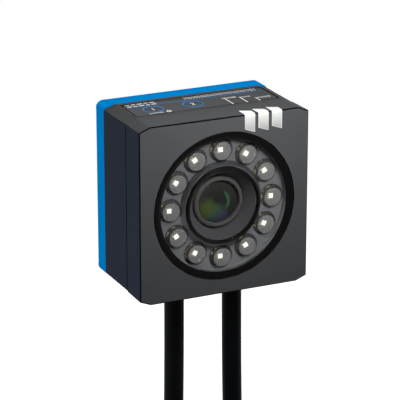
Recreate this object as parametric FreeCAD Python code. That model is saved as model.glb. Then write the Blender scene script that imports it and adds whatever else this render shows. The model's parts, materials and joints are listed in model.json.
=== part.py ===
import FreeCAD, Part
import math
import os

# Compact machine vision camera with a ring light.  Millimetres, +Z up.
# The origin is the middle of the rear mounting face.  The lens looks along -Y.
# "Depth" below is the distance behind the front face, measured along +Y.

# ---------------------------------------------------------------- housing
BODY_DEPTH = 33.3            # front face to rear mounting face
COVER_DEPTH = 10.05          # depth of the seam behind the front cover
HOUSING_END = 26.95          # depth of the housing's rear face
REAR_FLOOR = 32.75           # depth of the rear cover's recessed back
COVER_FRONT_HALF = (27.5, 27.52)
COVER_REAR_HALF = (27.35, 27.42)
HOUSING_HALF = (27.3, 27.25)
REAR_HALF = (27.25, 27.15)
BEVEL = (3.5, 1.38)          # cut corner, across and down
WALL = 2.3
COVER_WALL = 2.0
PLATE = 6.0                  # thickness of the front cover's face
EDGE_BREAK = 0.3
REAR_CORNER_R = 2.2
PAD_HALF = 19.0              # half width of the raised mounting pad
RAIL = 2.5                   # height of the rails along its top and bottom

SCREW_PLACE = 22.9           # housing screws, from the centre both ways
SCREW_BOSS_R = 3.0
SCREW_R = 1.2
SCREW_HOLE_R = 1.4
SCREW_HEAD_R = 2.25
SCREW_HEAD_H = 2.5
SCREW_TIP = 4.0

GASKET_T = 0.3
GASKET_SETBACK = 0.4
TONGUE = (24.4, 25.45)       # inner and outer half width of the locating tongue
TONGUE_START = 8.6
TONGUE_END = 11.5

MOUNT_PITCH = 30.0
INSERT_R = 2.8
INSERT_LENGTH = 5.0
MOUNT_THREAD_R = 1.65

# ---------------------------------------------------------------- optics
OPENING_R = 22.88
OPENING_SEAT = 3.0
REAR_BORE_R = 21.9
LIP_R = 20.6
BEZEL_WALL_R = 21.45
COVER_PANE = (0.75, 1.55)    # front and rear depth of the ring light's pane
LENS_PANE = (0.85, 1.65)
SHIELD_R = (11.17, 11.92)
SHIELD_FRONT = 0.4
LED_COUNT = 12
LED_CIRCLE_R = 16.67
LED_HOLE_R = 3.75
LED_LENS_R = (2.7, 3.65)     # at the tip and at the plate
LED_LENS_TIP = 1.62
PLATE_FRONT = 2.9
PLATE_REAR = 3.7
LENS_RING_REAR = 4.2
LED_BOARD_REAR = 5.2
LED_SIZE = 2.8
LED_FRONT = 3.2
DIE_SIZE = 1.35
DIE_T = 0.08
CARRIER_REAR = 7.2
CARRIER_FLANGE_R = 23.4
CARRIER_EAR_PLACE = 17.8
BARREL_R = 8.1
GLASS_R = 6.7
THREAD_R = 6.0
SENSOR_BOARD = (19.0, 20.2)
MAIN_BOARD = (23.2, 24.4)
BOARD_HALF = 18.0
POST_PLACE = 14.5

# ---------------------------------------------------------------- light windows
WINDOW_LEFTS = (6.35, 10.77, 15.19)
WINDOW_W = 3.42
WINDOW_T = 1.6
WINDOW_LOW = (22.9, 21.7)    # lower end at its left and right side
WINDOW_BACK = (4.4, 2.95)    # rear end at its left and right side
FOOT_W = 2.4
FOOT_Z = (22.95, 24.15)
FOOT_END = 11.4

# ---------------------------------------------------------------- keypad
LABEL_X = (-22.9, 23.7)
LABEL_DEPTHS = (11.8, 24.8)
LABEL_CORNER_R = 1.45
LABEL_GAP = 0.15
LABEL_FLOOR = HOUSING_HALF[1] - 0.35
LABEL_T = 0.3
PRINT_T = 0.05
RELIEF_R = 0.6
BUTTONS = {"button_left": -15.4, "button_right": -2.5}
BUTTON_DEPTH = 17.2
BUTTON_R = 2.5
BUTTON_HOLE_R = 2.65
BUTTON_FLANGE_R = 3.1
BUTTON_FLANGE_T = 0.7
BUTTON_TRAVEL = 0.3
RING_R = (2.72, 3.18)        # printed ring round each button
LINE_DEPTH = 21.3            # printed line along the label
LINE_X = (-21.2, 21.9)
MARK_LINES = ((8.5, 12.15, 18.2), (13.2, 12.15, 17.7), (17.4, 12.15, 15.0))
KEYPAD_Z = (21.7, 22.7)
KEYPAD_HALF = 19.4
KEYPAD_DEPTHS = (11.8, 24.0)
RIBS = ((-19.4, -18.7), (3.9, 5.1), (18.7, 19.4))

# ---------------------------------------------------------------- cables
CABLE_R = 3.05
GLAND_R = 4.6
GLAND_FLANGE_R = 5.6
GLAND_FLANGE_T = 1.5
CABLE_ROUTES = {             # from the gland to the plug
    "left": ((-9.7, -17.9, -30.05), (-9.7, -17.9, -69.0), (-11.1, -17.1, -112.0), (-11.1, -17.1, -150.0)),
    "right": ((9.7, -17.9, -30.05), (9.7, -17.9, -65.0), (11.6, -17.6, -108.0), (11.6, -17.6, -150.0)),
}
ARC_SHARE = 0.45
PLUG_PINS = {"left": 5, "right": 4}
PLUG_SHOULDER = 27.0         # distances below the cable's end
PLUG_NECK_END = 31.0
PLUG_FACE = 38.0
PLUG_END = 43.0
PLUG_THREAD_START = 36.0
PLUG_THREAD_R = 6.0
NECK_R = 4.8
RUNNING_GAP = 0.08
PIN_R = 0.5
PIN_CIRCLE_R = 2.75

Vec = FreeCAD.Vector
FORWARD = Vec(0, 1, 0)       # from the front towards the rear
UP = Vec(0, 0, 1)
ORIGIN = Vec(0, 0, 0)
CORNERS = ((-1, -1), (1, -1), (1, 1), (-1, 1))


# ---------------------------------------------------------------- helpers
def at(depth):
    """The Y coordinate of a plane at a given depth behind the front face."""
    return depth - BODY_DEPTH


def outline(points):
    return Part.makePolygon(points + [points[0]])


def bevelled_points(half, depth, bevel=BEVEL):
    """The corners of a rectangle across the lens axis with its four corners cut off."""
    w, h = half
    cw, ch = bevel
    upper = [(w, h - ch), (w - cw, h), (-w + cw, h), (-w, h - ch)]
    lower = [(-x, -z) for x, z in upper]
    return [Vec(x, at(depth), z) for x, z in upper + lower]


def bevelled_block(half, start, end, bevel=BEVEL):
    face = Part.Face(outline(bevelled_points(half, start, bevel)))
    return face.extrude(Vec(0, end - start, 0))


def drafted_block(front_half, rear_half, start, end):
    """A bevelled block whose flat sides draw in from its front to its rear."""
    front = bevelled_points(front_half, start)
    rear = bevelled_points(rear_half, end)
    faces = [Part.Face(outline(front)), Part.Face(outline(rear))]
    for k in range(len(front)):
        faces.append(Part.Face(outline([front[k - 1], front[k], rear[k], rear[k - 1]])))
    solid = Part.Solid(Part.Shell(faces))
    return solid if solid.Volume > 0 else solid.reversed()


def box(x, depth, z):
    """A block from three (low, high) pairs, the middle one being depths."""
    size = (x[1] - x[0], depth[1] - depth[0], z[1] - z[0])
    return Part.makeBox(*size, Vec(x[0], at(depth[0]), z[0]))


def rod(radius, start, end, x=0.0, z=0.0):
    """A cylinder along the lens axis between two depths."""
    return Part.makeCylinder(radius, end - start, Vec(x, at(start), z), FORWARD)


def hole_ring(outer, inner, start, end, x=0.0, z=0.0):
    return rod(outer, start, end, x, z).cut(rod(inner, start, end, x, z))


def turned(profile):
    """A solid of revolution about the lens axis from (radius, depth) points."""
    wire = outline([Vec(r, at(d), 0) for r, d in profile])
    return Part.Face(wire).revolve(ORIGIN, FORWARD, 360)


def hex_rod(across_flats, start, end, x, z):
    radius = across_flats / math.sqrt(3)
    angles = [math.radians(60 * k) for k in range(6)]
    points = [Vec(x + radius * math.cos(a), at(start), z + radius * math.sin(a)) for a in angles]
    return Part.Face(outline(points)).extrude(Vec(0, end - start, 0))


def at_corners(place):
    return [(sx * place, sz * place) for sx, sz in CORNERS]


def joined(shapes):
    return shapes[0].multiFuse(shapes[1:]) if len(shapes) > 1 else shapes[0]


def without(shape, tools):
    return shape.cut(joined(list(tools)))


def group(shapes):
    return Part.makeCompound(shapes)


def cable_places():
    return [route[0][:2] for route in CABLE_ROUTES.values()]


def led_angles():
    return [360.0 / LED_COUNT * k for k in range(LED_COUNT)]


def on_led_circle(shape, angle):
    """Turn a shape made at twelve o'clock to its place on the LED circle."""
    turned_shape = shape.copy()
    turned_shape.rotate(ORIGIN, FORWARD, angle)
    return turned_shape


def break_edges(shape, size, chosen):
    edges = [edge for edge in shape.Edges if chosen(edge)]
    return shape.makeChamfer(size, edges)


def round_edges(shape, radius, chosen):
    edges = [edge for edge in shape.Edges if chosen(edge)]
    return shape.makeFillet(radius, edges)


def lies_at_depth(edge, depth):
    bounds = edge.BoundBox
    return abs(bounds.YMin - at(depth)) < 1e-4 and abs(bounds.YMax - at(depth)) < 1e-4


# ---------------------------------------------------------------- light windows
def window_legs(left, extra=0.0):
    """The two visible legs of one light window, over the cover's top front edge."""
    right = left + WINDOW_W
    top = COVER_FRONT_HALF[1]
    front_face = [
        Vec(left, at(0), top), Vec(right, at(0), top),
        Vec(right, at(0), WINDOW_LOW[1]), Vec(left, at(0), WINDOW_LOW[0]),
    ]
    top_face = [
        Vec(left, at(0), top), Vec(right, at(0), top),
        Vec(right, at(WINDOW_BACK[1]), top), Vec(left, at(WINDOW_BACK[0]), top),
    ]
    front_leg = Part.Face(outline(front_face)).extrude(Vec(0, WINDOW_T, 0))
    top_leg = Part.Face(outline(top_face)).extrude(Vec(0, 0, -WINDOW_T))
    legs = front_leg.fuse(top_leg).removeSplitter()
    if extra:
        above = Part.Face(outline(top_face)).extrude(Vec(0, 0, extra))
        legs = legs.fuse(above)
    return legs


def window_foot(left, start, end):
    middle = left + WINDOW_W / 2
    return box((middle - FOOT_W / 2, middle + FOOT_W / 2), (start, end), FOOT_Z)


def light_pipe(left):
    legs = window_legs(left)

    def outer_bend(edge):
        bounds = edge.BoundBox
        at_top = abs(bounds.ZMin - COVER_FRONT_HALF[1]) < 1e-4
        return at_top and lies_at_depth(edge, 0)

    rounded = round_edges(legs, 0.7, outer_bend)
    return rounded.fuse(window_foot(left, WINDOW_T, FOOT_END))


# ---------------------------------------------------------------- housing pieces
def front_cover():
    block = drafted_block(COVER_FRONT_HALF, COVER_REAR_HALF, 0, COVER_DEPTH)
    block = break_edges(block, EDGE_BREAK, lambda edge: lies_at_depth(edge, 0))
    inner_half = tuple(h - COVER_WALL for h in COVER_FRONT_HALF)
    pocket = bevelled_block(inner_half, PLATE, COVER_DEPTH, (2.6, 1.0))
    bosses = [rod(SCREW_BOSS_R, PLATE, COVER_DEPTH, x, z) for x, z in at_corners(SCREW_PLACE)]
    cover = block.cut(pocket.cut(joined(bosses)))
    tools = [rod(OPENING_R, -1, OPENING_SEAT), rod(REAR_BORE_R, OPENING_SEAT, PLATE)]
    tools += [rod(SCREW_R, SCREW_TIP, COVER_DEPTH, x, z) for x, z in at_corners(SCREW_PLACE)]
    tools += [rod(0.95, 3.6, PLATE, x, z) for x, z in at_corners(CARRIER_EAR_PLACE)]
    for left in WINDOW_LEFTS:
        tools.append(window_legs(left, extra=0.5))
        tools.append(window_foot(left, WINDOW_T, PLATE))
    return without(cover, tools)


def front_gasket():
    outer = tuple(h - GASKET_SETBACK for h in COVER_REAR_HALF)
    inner = (TONGUE[1] + 0.05, TONGUE[1] + 0.05)
    ring = bevelled_block(outer, COVER_DEPTH, COVER_DEPTH + GASKET_T)
    return ring.cut(bevelled_block(inner, COVER_DEPTH, COVER_DEPTH + GASKET_T, (2.6, 1.0)))


def label_reliefs(low):
    """Small round reliefs in two opposite corners of the label's recess."""
    inset = RELIEF_R - 0.15
    right_front = Vec(LABEL_X[1] - inset, at(LABEL_DEPTHS[0] + inset), low)
    left_back = Vec(LABEL_X[0] + inset, at(LABEL_DEPTHS[1] - inset), low)
    return [Part.makeCylinder(RELIEF_R, 2, place) for place in (right_front, left_back)]


def label_outline_block(gap, low, high):
    """A rounded rectangle the size of the label's recess, less a gap all round."""
    x = (LABEL_X[0] + gap, LABEL_X[1] - gap)
    depths = (LABEL_DEPTHS[0] + gap, LABEL_DEPTHS[1] - gap)
    plate = box(x, depths, (low, high))
    return round_edges(plate, LABEL_CORNER_R, lambda edge: edge.BoundBox.ZLength > (high - low) * 0.9)


def main_housing():
    start = COVER_DEPTH + GASKET_T
    block = bevelled_block(HOUSING_HALF, start, HOUSING_END)
    inner_half = tuple(h - WALL for h in HOUSING_HALF)
    cavity = bevelled_block(inner_half, start, HOUSING_END, (2.2, 0.9))
    bosses = [rod(SCREW_BOSS_R, start, HOUSING_END, x, z) for x, z in at_corners(SCREW_PLACE)]
    ribs = [box(x, KEYPAD_DEPTHS, (KEYPAD_Z[1], inner_half[1] + 0.2)) for x in RIBS]
    shell = block.cut(without(cavity, bosses + ribs))
    tongue = bevelled_block((TONGUE[1], TONGUE[1]), TONGUE_START, TONGUE_END, (2.6, 1.0))
    tongue = tongue.cut(bevelled_block((TONGUE[0], TONGUE[0]), TONGUE_START, TONGUE_END, (2.2, 0.9)))
    relief = [rod(SCREW_BOSS_R + 0.25, TONGUE_START, start, x, z) for x, z in at_corners(SCREW_PLACE)]
    housing = shell.fuse(without(tongue, relief))
    top = HOUSING_HALF[1]
    tools = [rod(SCREW_HOLE_R, TONGUE_START, HOUSING_END, x, z) for x, z in at_corners(SCREW_PLACE)]
    tools.append(label_outline_block(0, LABEL_FLOOR, top + 1))
    tools += label_reliefs(LABEL_FLOOR - 0.5)
    for x in BUTTONS.values():
        tools.append(Part.makeCylinder(BUTTON_HOLE_R, 4, Vec(x, at(BUTTON_DEPTH), top - 3)))
    for x, y in cable_places():
        tools.append(Part.makeCylinder(GLAND_R, WALL + 2, Vec(x, y, -top - 1)))
        tools.append(Part.makeCylinder(GLAND_FLANGE_R + 0.2, 2, Vec(x, y, -inner_half[1])))
    return without(housing, tools)


def rounded_plate(half, radius, start, end):
    plate = box((-half[0], half[0]), (start, end), (-half[1], half[1]))
    return round_edges(plate, radius, lambda edge: edge.BoundBox.YLength > (end - start) * 0.9)


def seal_loop(start, end, outer_half=26.4, inner_half=25.2):
    outer = rounded_plate((outer_half, outer_half), 1.8, start, end)
    return outer.cut(rounded_plate((inner_half, inner_half), 1.0, start, end))


def rear_cover():
    plate = rounded_plate(REAR_HALF, REAR_CORNER_R, HOUSING_END, BODY_DEPTH)
    plate = break_edges(plate, 0.4, lambda edge: lies_at_depth(edge, BODY_DEPTH))
    side = (PAD_HALF, REAR_HALF[0] + 1)
    rail_half = REAR_HALF[1] - RAIL
    tools = []
    for x in (side, (-side[1], -side[0])):
        tools.append(box(x, (REAR_FLOOR, BODY_DEPTH + 1), (-rail_half, rail_half)))
    tools.append(seal_loop(HOUSING_END, HOUSING_END + 0.8))
    head_seat = REAR_FLOOR - SCREW_HEAD_H - 0.4
    for x, z in at_corners(SCREW_PLACE):
        tools.append(rod(SCREW_HOLE_R, HOUSING_END, head_seat, x, z))
        tools.append(rod(SCREW_HEAD_R + 0.15, head_seat, BODY_DEPTH, x, z))
    for x, z in at_corners(MOUNT_PITCH / 2):
        tools.append(rod(INSERT_R, BODY_DEPTH - INSERT_LENGTH, BODY_DEPTH, x, z))
    return without(plate, tools)


def mount_inserts():
    start = BODY_DEPTH - INSERT_LENGTH
    return group([hole_ring(INSERT_R, MOUNT_THREAD_R, start, BODY_DEPTH, x, z)
                  for x, z in at_corners(MOUNT_PITCH / 2)])


def housing_screws():
    seat = REAR_FLOOR - SCREW_HEAD_H - 0.4
    head_end = seat + SCREW_HEAD_H
    screws = []
    for x, z in at_corners(SCREW_PLACE):
        screw = rod(SCREW_R, SCREW_TIP, seat, x, z).fuse(rod(SCREW_HEAD_R, seat, head_end, x, z))
        screws.append(screw.cut(hex_rod(2.0, head_end - 1.3, head_end, x, z)))
    return group(screws)


# ---------------------------------------------------------------- optics pieces
def bezel_ring():
    outer = OPENING_R - 0.05
    return turned([
        (outer, 0.1), (outer, OPENING_SEAT), (BEZEL_WALL_R, OPENING_SEAT),
        (BEZEL_WALL_R, COVER_PANE[0]), (LIP_R, COVER_PANE[0]), (LIP_R, COVER_PANE[0] - 0.2),
        (outer - 0.5, 0.1),
    ])


def ring_light_cover():
    return hole_ring(BEZEL_WALL_R - 0.05, SHIELD_R[1] + 0.03, *COVER_PANE)


def reflector_plate():
    rim = (LIP_R - 0.15, BEZEL_WALL_R - 0.05)
    collar = (SHIELD_R[1] + 0.08, SHIELD_R[1] + 0.33)
    plate = turned([
        (collar[0], COVER_PANE[1]), (collar[1], COVER_PANE[1]), (13.4, PLATE_FRONT),
        (rim[0], PLATE_FRONT), (rim[0], COVER_PANE[1]), (rim[1], COVER_PANE[1]),
        (rim[1], PLATE_REAR), (collar[0], PLATE_REAR),
    ])
    hole = rod(LED_HOLE_R, PLATE_FRONT - 1, PLATE_REAR + 1, 0, LED_CIRCLE_R)
    return without(plate, [on_led_circle(hole, angle) for angle in led_angles()])


def led_lens_ring():
    tip_r, base_r = LED_LENS_R
    flange = hole_ring(21.3, 12.6, PLATE_REAR, LENS_RING_REAR)
    tip = Vec(0, at(LED_LENS_TIP), LED_CIRCLE_R)
    cone = Part.makeCone(tip_r, base_r, PLATE_FRONT - LED_LENS_TIP, tip, FORWARD)
    lens = cone.fuse(rod(base_r, PLATE_FRONT, PLATE_REAR + 0.1, 0, LED_CIRCLE_R))
    pocket = rod(2.15, LED_FRONT - DIE_T - 0.12, LENS_RING_REAR, 0, LED_CIRCLE_R)
    lenses = [on_led_circle(lens, angle) for angle in led_angles()]
    pockets = [on_led_circle(pocket, angle) for angle in led_angles()]
    return without(flange.multiFuse(lenses).removeSplitter(), pockets)


def led_board():
    board = hole_ring(21.3, 12.6, LENS_RING_REAR, LED_BOARD_REAR)
    wire_notch = box((-2.5, 2.5), (LENS_RING_REAR, LED_BOARD_REAR), (-13.6, -12.0))
    return board.cut(wire_notch)


def led_squares(size, start, end):
    half = size / 2
    square = box((-half, half), (start, end), (LED_CIRCLE_R - half, LED_CIRCLE_R + half))
    return group([on_led_circle(square, angle) for angle in led_angles()])


def optics_carrier():
    disc = turned([
        (SHIELD_R[1] + 0.05, LED_BOARD_REAR), (REAR_BORE_R - 0.05, LED_BOARD_REAR),
        (REAR_BORE_R - 0.05, PLATE), (CARRIER_FLANGE_R, PLATE),
        (CARRIER_FLANGE_R, CARRIER_REAR), (SHIELD_R[1] + 0.05, CARRIER_REAR),
    ])
    places = at_corners(CARRIER_EAR_PLACE)
    ears = [rod(2.2, PLATE, CARRIER_REAR, x, z) for x, z in places]
    carrier = disc.multiFuse(ears)
    wire_slot = box((-2.5, 2.5), (LED_BOARD_REAR, CARRIER_REAR), (-15.4, -13.0))
    return without(carrier, [wire_slot] + [rod(1.1, PLATE, CARRIER_REAR, x, z) for x, z in places])


def carrier_screws():
    screws = []
    for x, z in at_corners(CARRIER_EAR_PLACE):
        head = rod(1.8, CARRIER_REAR, CARRIER_REAR + 1.2, x, z)
        screws.append(rod(0.95, 3.6, CARRIER_REAR, x, z).fuse(head))
    return group(screws)


def light_shield():
    inner, outer = SHIELD_R
    edge = 0.12
    return turned([
        (inner + edge, SHIELD_FRONT), (outer - edge, SHIELD_FRONT), (outer, SHIELD_FRONT + edge),
        (outer, CARRIER_REAR), (13.4, CARRIER_REAR), (13.4, CARRIER_REAR + 0.8),
        (10.4, CARRIER_REAR + 0.8), (10.4, 6.0), (inner, 6.0), (inner, SHIELD_FRONT + edge),
    ])


def lens_baffle():
    outer = SHIELD_R[0] - 0.05
    bore = BARREL_R + 0.25
    return turned([
        (outer, LENS_PANE[1]), (outer, 6.0), (bore, 6.0), (bore, 4.9), (10.75, LENS_PANE[1]),
    ])


def lens_window():
    return rod(SHIELD_R[0] - 0.05, *LENS_PANE)


def lens_barrel():
    return turned([
        (GLASS_R + 0.05, 4.1), (GLASS_R + 0.3, 3.98), (7.5, 4.08), (7.9, 4.3), (BARREL_R, 4.75),
        (BARREL_R, 8.5), (THREAD_R, 8.5), (THREAD_R, 17.0), (4.0, 17.0), (4.0, 12.0),
        (5.15, 12.0), (5.15, 8.0), (5.6, 8.0), (5.6, 7.0), (GLASS_R + 0.05, 7.0),
    ])


def dome(radius, edge_depth, vertex_depth):
    """A spherical cap on a flat base at edge_depth, its vertex at vertex_depth."""
    rise = abs(edge_depth - vertex_depth)
    sphere_r = (radius * radius + rise * rise) / (2 * rise)
    side = 1 if vertex_depth < edge_depth else -1
    ball = Part.makeSphere(sphere_r, Vec(0, at(vertex_depth) + side * sphere_r, 0))
    return ball.common(rod(radius, min(edge_depth, vertex_depth), max(edge_depth, vertex_depth)))


def lens_front_element():
    return dome(GLASS_R, 5.4, 4.3).fuse(rod(GLASS_R, 5.4, 7.0)).cut(dome(4.6, 7.0, 6.0)).removeSplitter()


def lens_rear_element():
    return rod(5.1, 8.8, 12.0).fuse(dome(3.9, 12.0, 13.0)).removeSplitter()


def aperture_stop():
    return turned([(2.2, 8.8), (5.1, 8.8), (5.1, 8.2), (2.6, 8.2)])


def lens_lock_ring():
    ring = hole_ring(8.3, THREAD_R + 0.05, 8.5, 10.0)
    notch = box((-0.7, 0.7), (8.5, 10.0), (7.5, 9.0))
    notches = []
    for k in range(4):
        turned_notch = notch.copy()
        turned_notch.rotate(ORIGIN, FORWARD, 90 * k)
        notches.append(turned_notch)
    return without(ring, notches)


def lens_holder():
    board = SENSOR_BOARD[0]
    base = box((-9, 9), (15.5, board), (-9, 9))
    base = round_edges(base, 1.0, lambda edge: edge.BoundBox.YLength > 3)
    holder = rod(8.0, 10.0, 15.6).fuse(base)
    return without(holder, [rod(THREAD_R + 0.05, 10.0, 17.2), box((-6.5, 6.5), (17.2, board), (-6.5, 6.5))])


def image_sensor():
    front = SENSOR_BOARD[0] - 1.2
    package = box((-5, 5), (front, SENSOR_BOARD[0]), (-4.2, 4.2))
    return package.cut(box((-3.8, 3.8), (front, front + 0.5), (-3.0, 3.0)))


# ---------------------------------------------------------------- boards
def square_board(half, depths):
    board = box((-half, half), depths, (-half, half))
    board = round_edges(board, 1.5, lambda edge: edge.BoundBox.YLength > 1)
    return without(board, [rod(1.35, *depths, x, z) for x, z in at_corners(POST_PLACE)])


def standoffs():
    posts = []
    for x, z in at_corners(POST_PLACE):
        post = hex_rod(4.4, CARRIER_REAR, SENSOR_BOARD[0], x, z)
        posts.append(post.cut(rod(1.25, SENSOR_BOARD[0] - 8, SENSOR_BOARD[0], x, z)))
    return group(posts)


def board_spacers():
    return group([hole_ring(2.2, 1.25, SENSOR_BOARD[1], MAIN_BOARD[0], x, z)
                  for x, z in at_corners(POST_PLACE)])


def board_screws():
    rear = MAIN_BOARD[1]
    screws = []
    for x, z in at_corners(POST_PLACE):
        head = rod(2.2, rear, rear + 1.5, x, z)
        shank = rod(1.2, SENSOR_BOARD[0] - 6, rear, x, z)
        slot = box((x - 0.3, x + 0.3), (rear + 0.8, rear + 1.5), (z - 1.6, z + 1.6))
        screws.append(shank.fuse(head).cut(slot))
    return group(screws)


def board_connector():
    return box((-10, 10), (SENSOR_BOARD[1], MAIN_BOARD[0]), (-11.5, -7.0))


def processor_chip():
    return box((-7, 7), (MAIN_BOARD[1], 25.8), (-5, 9))


def thermal_pad():
    return box((-7, 7), (25.8, HOUSING_END), (-5, 9))


# ---------------------------------------------------------------- keypad pieces
def label():
    plate = label_outline_block(LABEL_GAP, LABEL_FLOOR, LABEL_FLOOR + LABEL_T)
    holes = [Part.makeCylinder(BUTTON_HOLE_R, 2, Vec(x, at(BUTTON_DEPTH), LABEL_FLOOR - 1))
             for x in BUTTONS.values()]
    return without(plate, holes + label_reliefs(LABEL_FLOOR - 0.5))


def label_print_blue():
    low = LABEL_FLOOR + LABEL_T
    line = box(LINE_X, (LINE_DEPTH - 0.13, LINE_DEPTH + 0.13), (low, low + PRINT_T))
    pieces = [line]
    for x in BUTTONS.values():
        centre = Vec(x, at(BUTTON_DEPTH), low)
        disc = Part.makeCylinder(RING_R[1], PRINT_T, centre)
        pieces.append(disc.cut(Part.makeCylinder(RING_R[0], PRINT_T, centre)))
    return group(pieces)


def label_print_white():
    low = LABEL_FLOOR + LABEL_T
    return group([box((x - 0.16, x + 0.16), (front, back), (low, low + PRINT_T))
                  for x, front, back in MARK_LINES])


def button(x):
    wall_inside = HOUSING_HALF[1] - WALL
    centre = at(BUTTON_DEPTH)
    flange_low = wall_inside - BUTTON_FLANGE_T
    top = LABEL_FLOOR + LABEL_T + PRINT_T
    cap = Part.makeCylinder(BUTTON_R, top - flange_low, Vec(x, centre, flange_low))
    cap = break_edges(cap, 0.12, lambda edge: edge.BoundBox.ZMin > top - 1e-3)
    return cap.fuse(Part.makeCylinder(BUTTON_FLANGE_R, BUTTON_FLANGE_T, Vec(x, centre, flange_low)))


def keypad_board():
    half = KEYPAD_HALF
    return box((-half, half), KEYPAD_DEPTHS, KEYPAD_Z)


def tact_switches():
    plunger_top = HOUSING_HALF[1] - WALL - BUTTON_FLANGE_T - BUTTON_TRAVEL - 0.02
    body_top = KEYPAD_Z[1] + 0.8
    switches = []
    for x in BUTTONS.values():
        body = box((x - 2.2, x + 2.2), (BUTTON_DEPTH - 2.2, BUTTON_DEPTH + 2.2), (KEYPAD_Z[1], body_top))
        place = Vec(x, at(BUTTON_DEPTH), body_top)
        switches.append(body.fuse(Part.makeCylinder(1.0, plunger_top - body_top, place)))
    return group(switches)


def status_leds():
    leds = []
    for left in WINDOW_LEFTS:
        middle = left + WINDOW_W / 2
        leds.append(box((middle - 1.5, middle + 1.5), (11.9, 13.2), (KEYPAD_Z[1], KEYPAD_Z[1] + 1.4)))
    return group(leds)


# ---------------------------------------------------------------- cables and plugs
def turned_down(profile, x, y, top):
    """A solid of revolution about a vertical axis, from (radius, distance below top)."""
    wire = outline([Vec(x + r, y, top - drop) for r, drop in profile])
    return Part.Face(wire).revolve(Vec(x, y, 0), UP, 360)


def cable_gland(route):
    x, y, exit_z = route[0]
    outside = -HOUSING_HALF[1]
    inside = outside + WALL
    return turned_down([
        (0, 0), (CABLE_R + 0.35, 0), (GLAND_R - 0.3, exit_z - outside + 0.6),
        (GLAND_R, exit_z - outside), (GLAND_R, exit_z - inside), (GLAND_FLANGE_R, exit_z - inside),
        (GLAND_FLANGE_R, exit_z - inside - GLAND_FLANGE_T), (0, exit_z - inside - GLAND_FLANGE_T),
    ], x, y, exit_z)


def cable_tube(name, route):
    """Straight runs joined by tangent arcs as large as the runs allow."""
    points = [Vec(*point) for point in route]
    edges = []
    last = points[0]
    for before, corner, after in zip(points, points[1:], points[2:]):
        back = before - corner
        ahead = after - corner
        shorter = min(back.Length, ahead.Length)
        half_turn = (math.pi - back.getAngle(ahead)) / 2
        radius = ARC_SHARE * shorter / math.tan(half_turn)
        back.normalize()
        ahead.normalize()
        start = corner + back * (ARC_SHARE * shorter)
        end = corner + ahead * (ARC_SHARE * shorter)
        inward = back + ahead
        inward.normalize()
        middle = corner + inward * (radius / math.cos(half_turn) - radius)
        edges.append(Part.LineSegment(last, start).toShape())
        edges.append(Part.Arc(start, middle, end).toShape())
        last = end
        print(f"cable_{name}: turn {math.degrees(2 * half_turn):.1f} deg, radius {radius:.0f}")
    edges.append(Part.LineSegment(last, points[-1]).toShape())
    path = Part.Wire(edges)
    section = Part.Wire(Part.makeCircle(CABLE_R, points[0], points[1] - points[0]))
    tube = path.makePipeShell([section], True, True)
    expected = math.pi * CABLE_R ** 2 * path.Length
    print(f"cable_{name}: length {path.Length:.1f}, volume {tube.Volume / expected:.4f} of section times length")
    return tube


def plug_body(route):
    x, y, top = route[-1]
    body = turned_down([
        (0, 0), (3.6, 0), (3.9, 2.4), (3.5, 2.4), (3.5, 3.4), (4.1, 3.4), (4.4, 5.8), (4.0, 5.8),
        (4.0, 6.8), (4.6, 6.8), (5.0, 10.2), (6.3, 12.0), (6.3, 25.6), (5.9, PLUG_SHOULDER),
        (NECK_R, PLUG_SHOULDER),
        (NECK_R, PLUG_SHOULDER + 1.6), (5.5, PLUG_SHOULDER + 1.6), (5.5, PLUG_SHOULDER + 2.4),
        (NECK_R, PLUG_SHOULDER + 2.4), (NECK_R, PLUG_NECK_END), (0, PLUG_NECK_END),
    ], x, y, top)
    grooves = []
    for k in range(8):
        angle = math.radians(45 * k + 22.5)
        place = Vec(x + 7.0 * math.cos(angle), y + 7.0 * math.sin(angle), top - 24.5)
        grooves.append(Part.makeCylinder(1.1, 10, place))
    return without(body, grooves)


def plug_insert(route):
    x, y, top = route[-1]
    insert = turned_down([
        (0, PLUG_NECK_END), (NECK_R, PLUG_NECK_END), (NECK_R, PLUG_NECK_END + 1.0),
        (4.25, PLUG_NECK_END + 1.0), (4.25, PLUG_FACE - 0.2), (4.05, PLUG_FACE), (0, PLUG_FACE),
    ], x, y, top)
    key = Part.makeBox(0.9, 0.7, 5.0, Vec(x - 0.45, y - 4.3, top - PLUG_FACE))
    return insert.cut(key)


def plug_pins(name, route):
    x, y, top = route[-1]
    count = PLUG_PINS[name]
    around = 4
    pins = []
    for k in range(count):
        radius = PIN_CIRCLE_R if k < around else 0.0
        angle = math.radians(360 / around * k + 45)
        low = top - PLUG_FACE - 4.3
        place = Vec(x + radius * math.cos(angle), y + radius * math.sin(angle), low)
        pin = Part.makeCylinder(PIN_R, 4.3, place)
        pins.append(break_edges(pin, 0.2, lambda edge: edge.BoundBox.ZMax < low + 1e-3))
    return group(pins)


def coupling(route):
    x, y, top = route[-1]
    bore = NECK_R + RUNNING_GAP
    thread = PLUG_THREAD_R
    sleeve = turned_down([
        (bore, PLUG_SHOULDER), (6.6, PLUG_SHOULDER), (7.25, PLUG_SHOULDER + 0.6),
        (7.25, PLUG_THREAD_START - 1.4), (6.8, PLUG_THREAD_START - 0.9), (5.4, PLUG_THREAD_START - 0.9),
        (5.4, PLUG_THREAD_START), (thread, PLUG_THREAD_START), (thread, PLUG_END),
        (bore, PLUG_END), (bore, PLUG_SHOULDER + 2.8),
        (5.8, PLUG_SHOULDER + 2.8), (5.8, PLUG_SHOULDER + 1.2), (bore, PLUG_SHOULDER + 1.2),
    ], x, y, top)
    flutes = []
    for k in range(12):
        angle = math.radians(30 * k)
        place = Vec(x + 7.75 * math.cos(angle), y + 7.75 * math.sin(angle), top - PLUG_THREAD_START + 0.5)
        flutes.append(Part.makeCylinder(0.8, 9, place))
    return without(sleeve, flutes)


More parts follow.
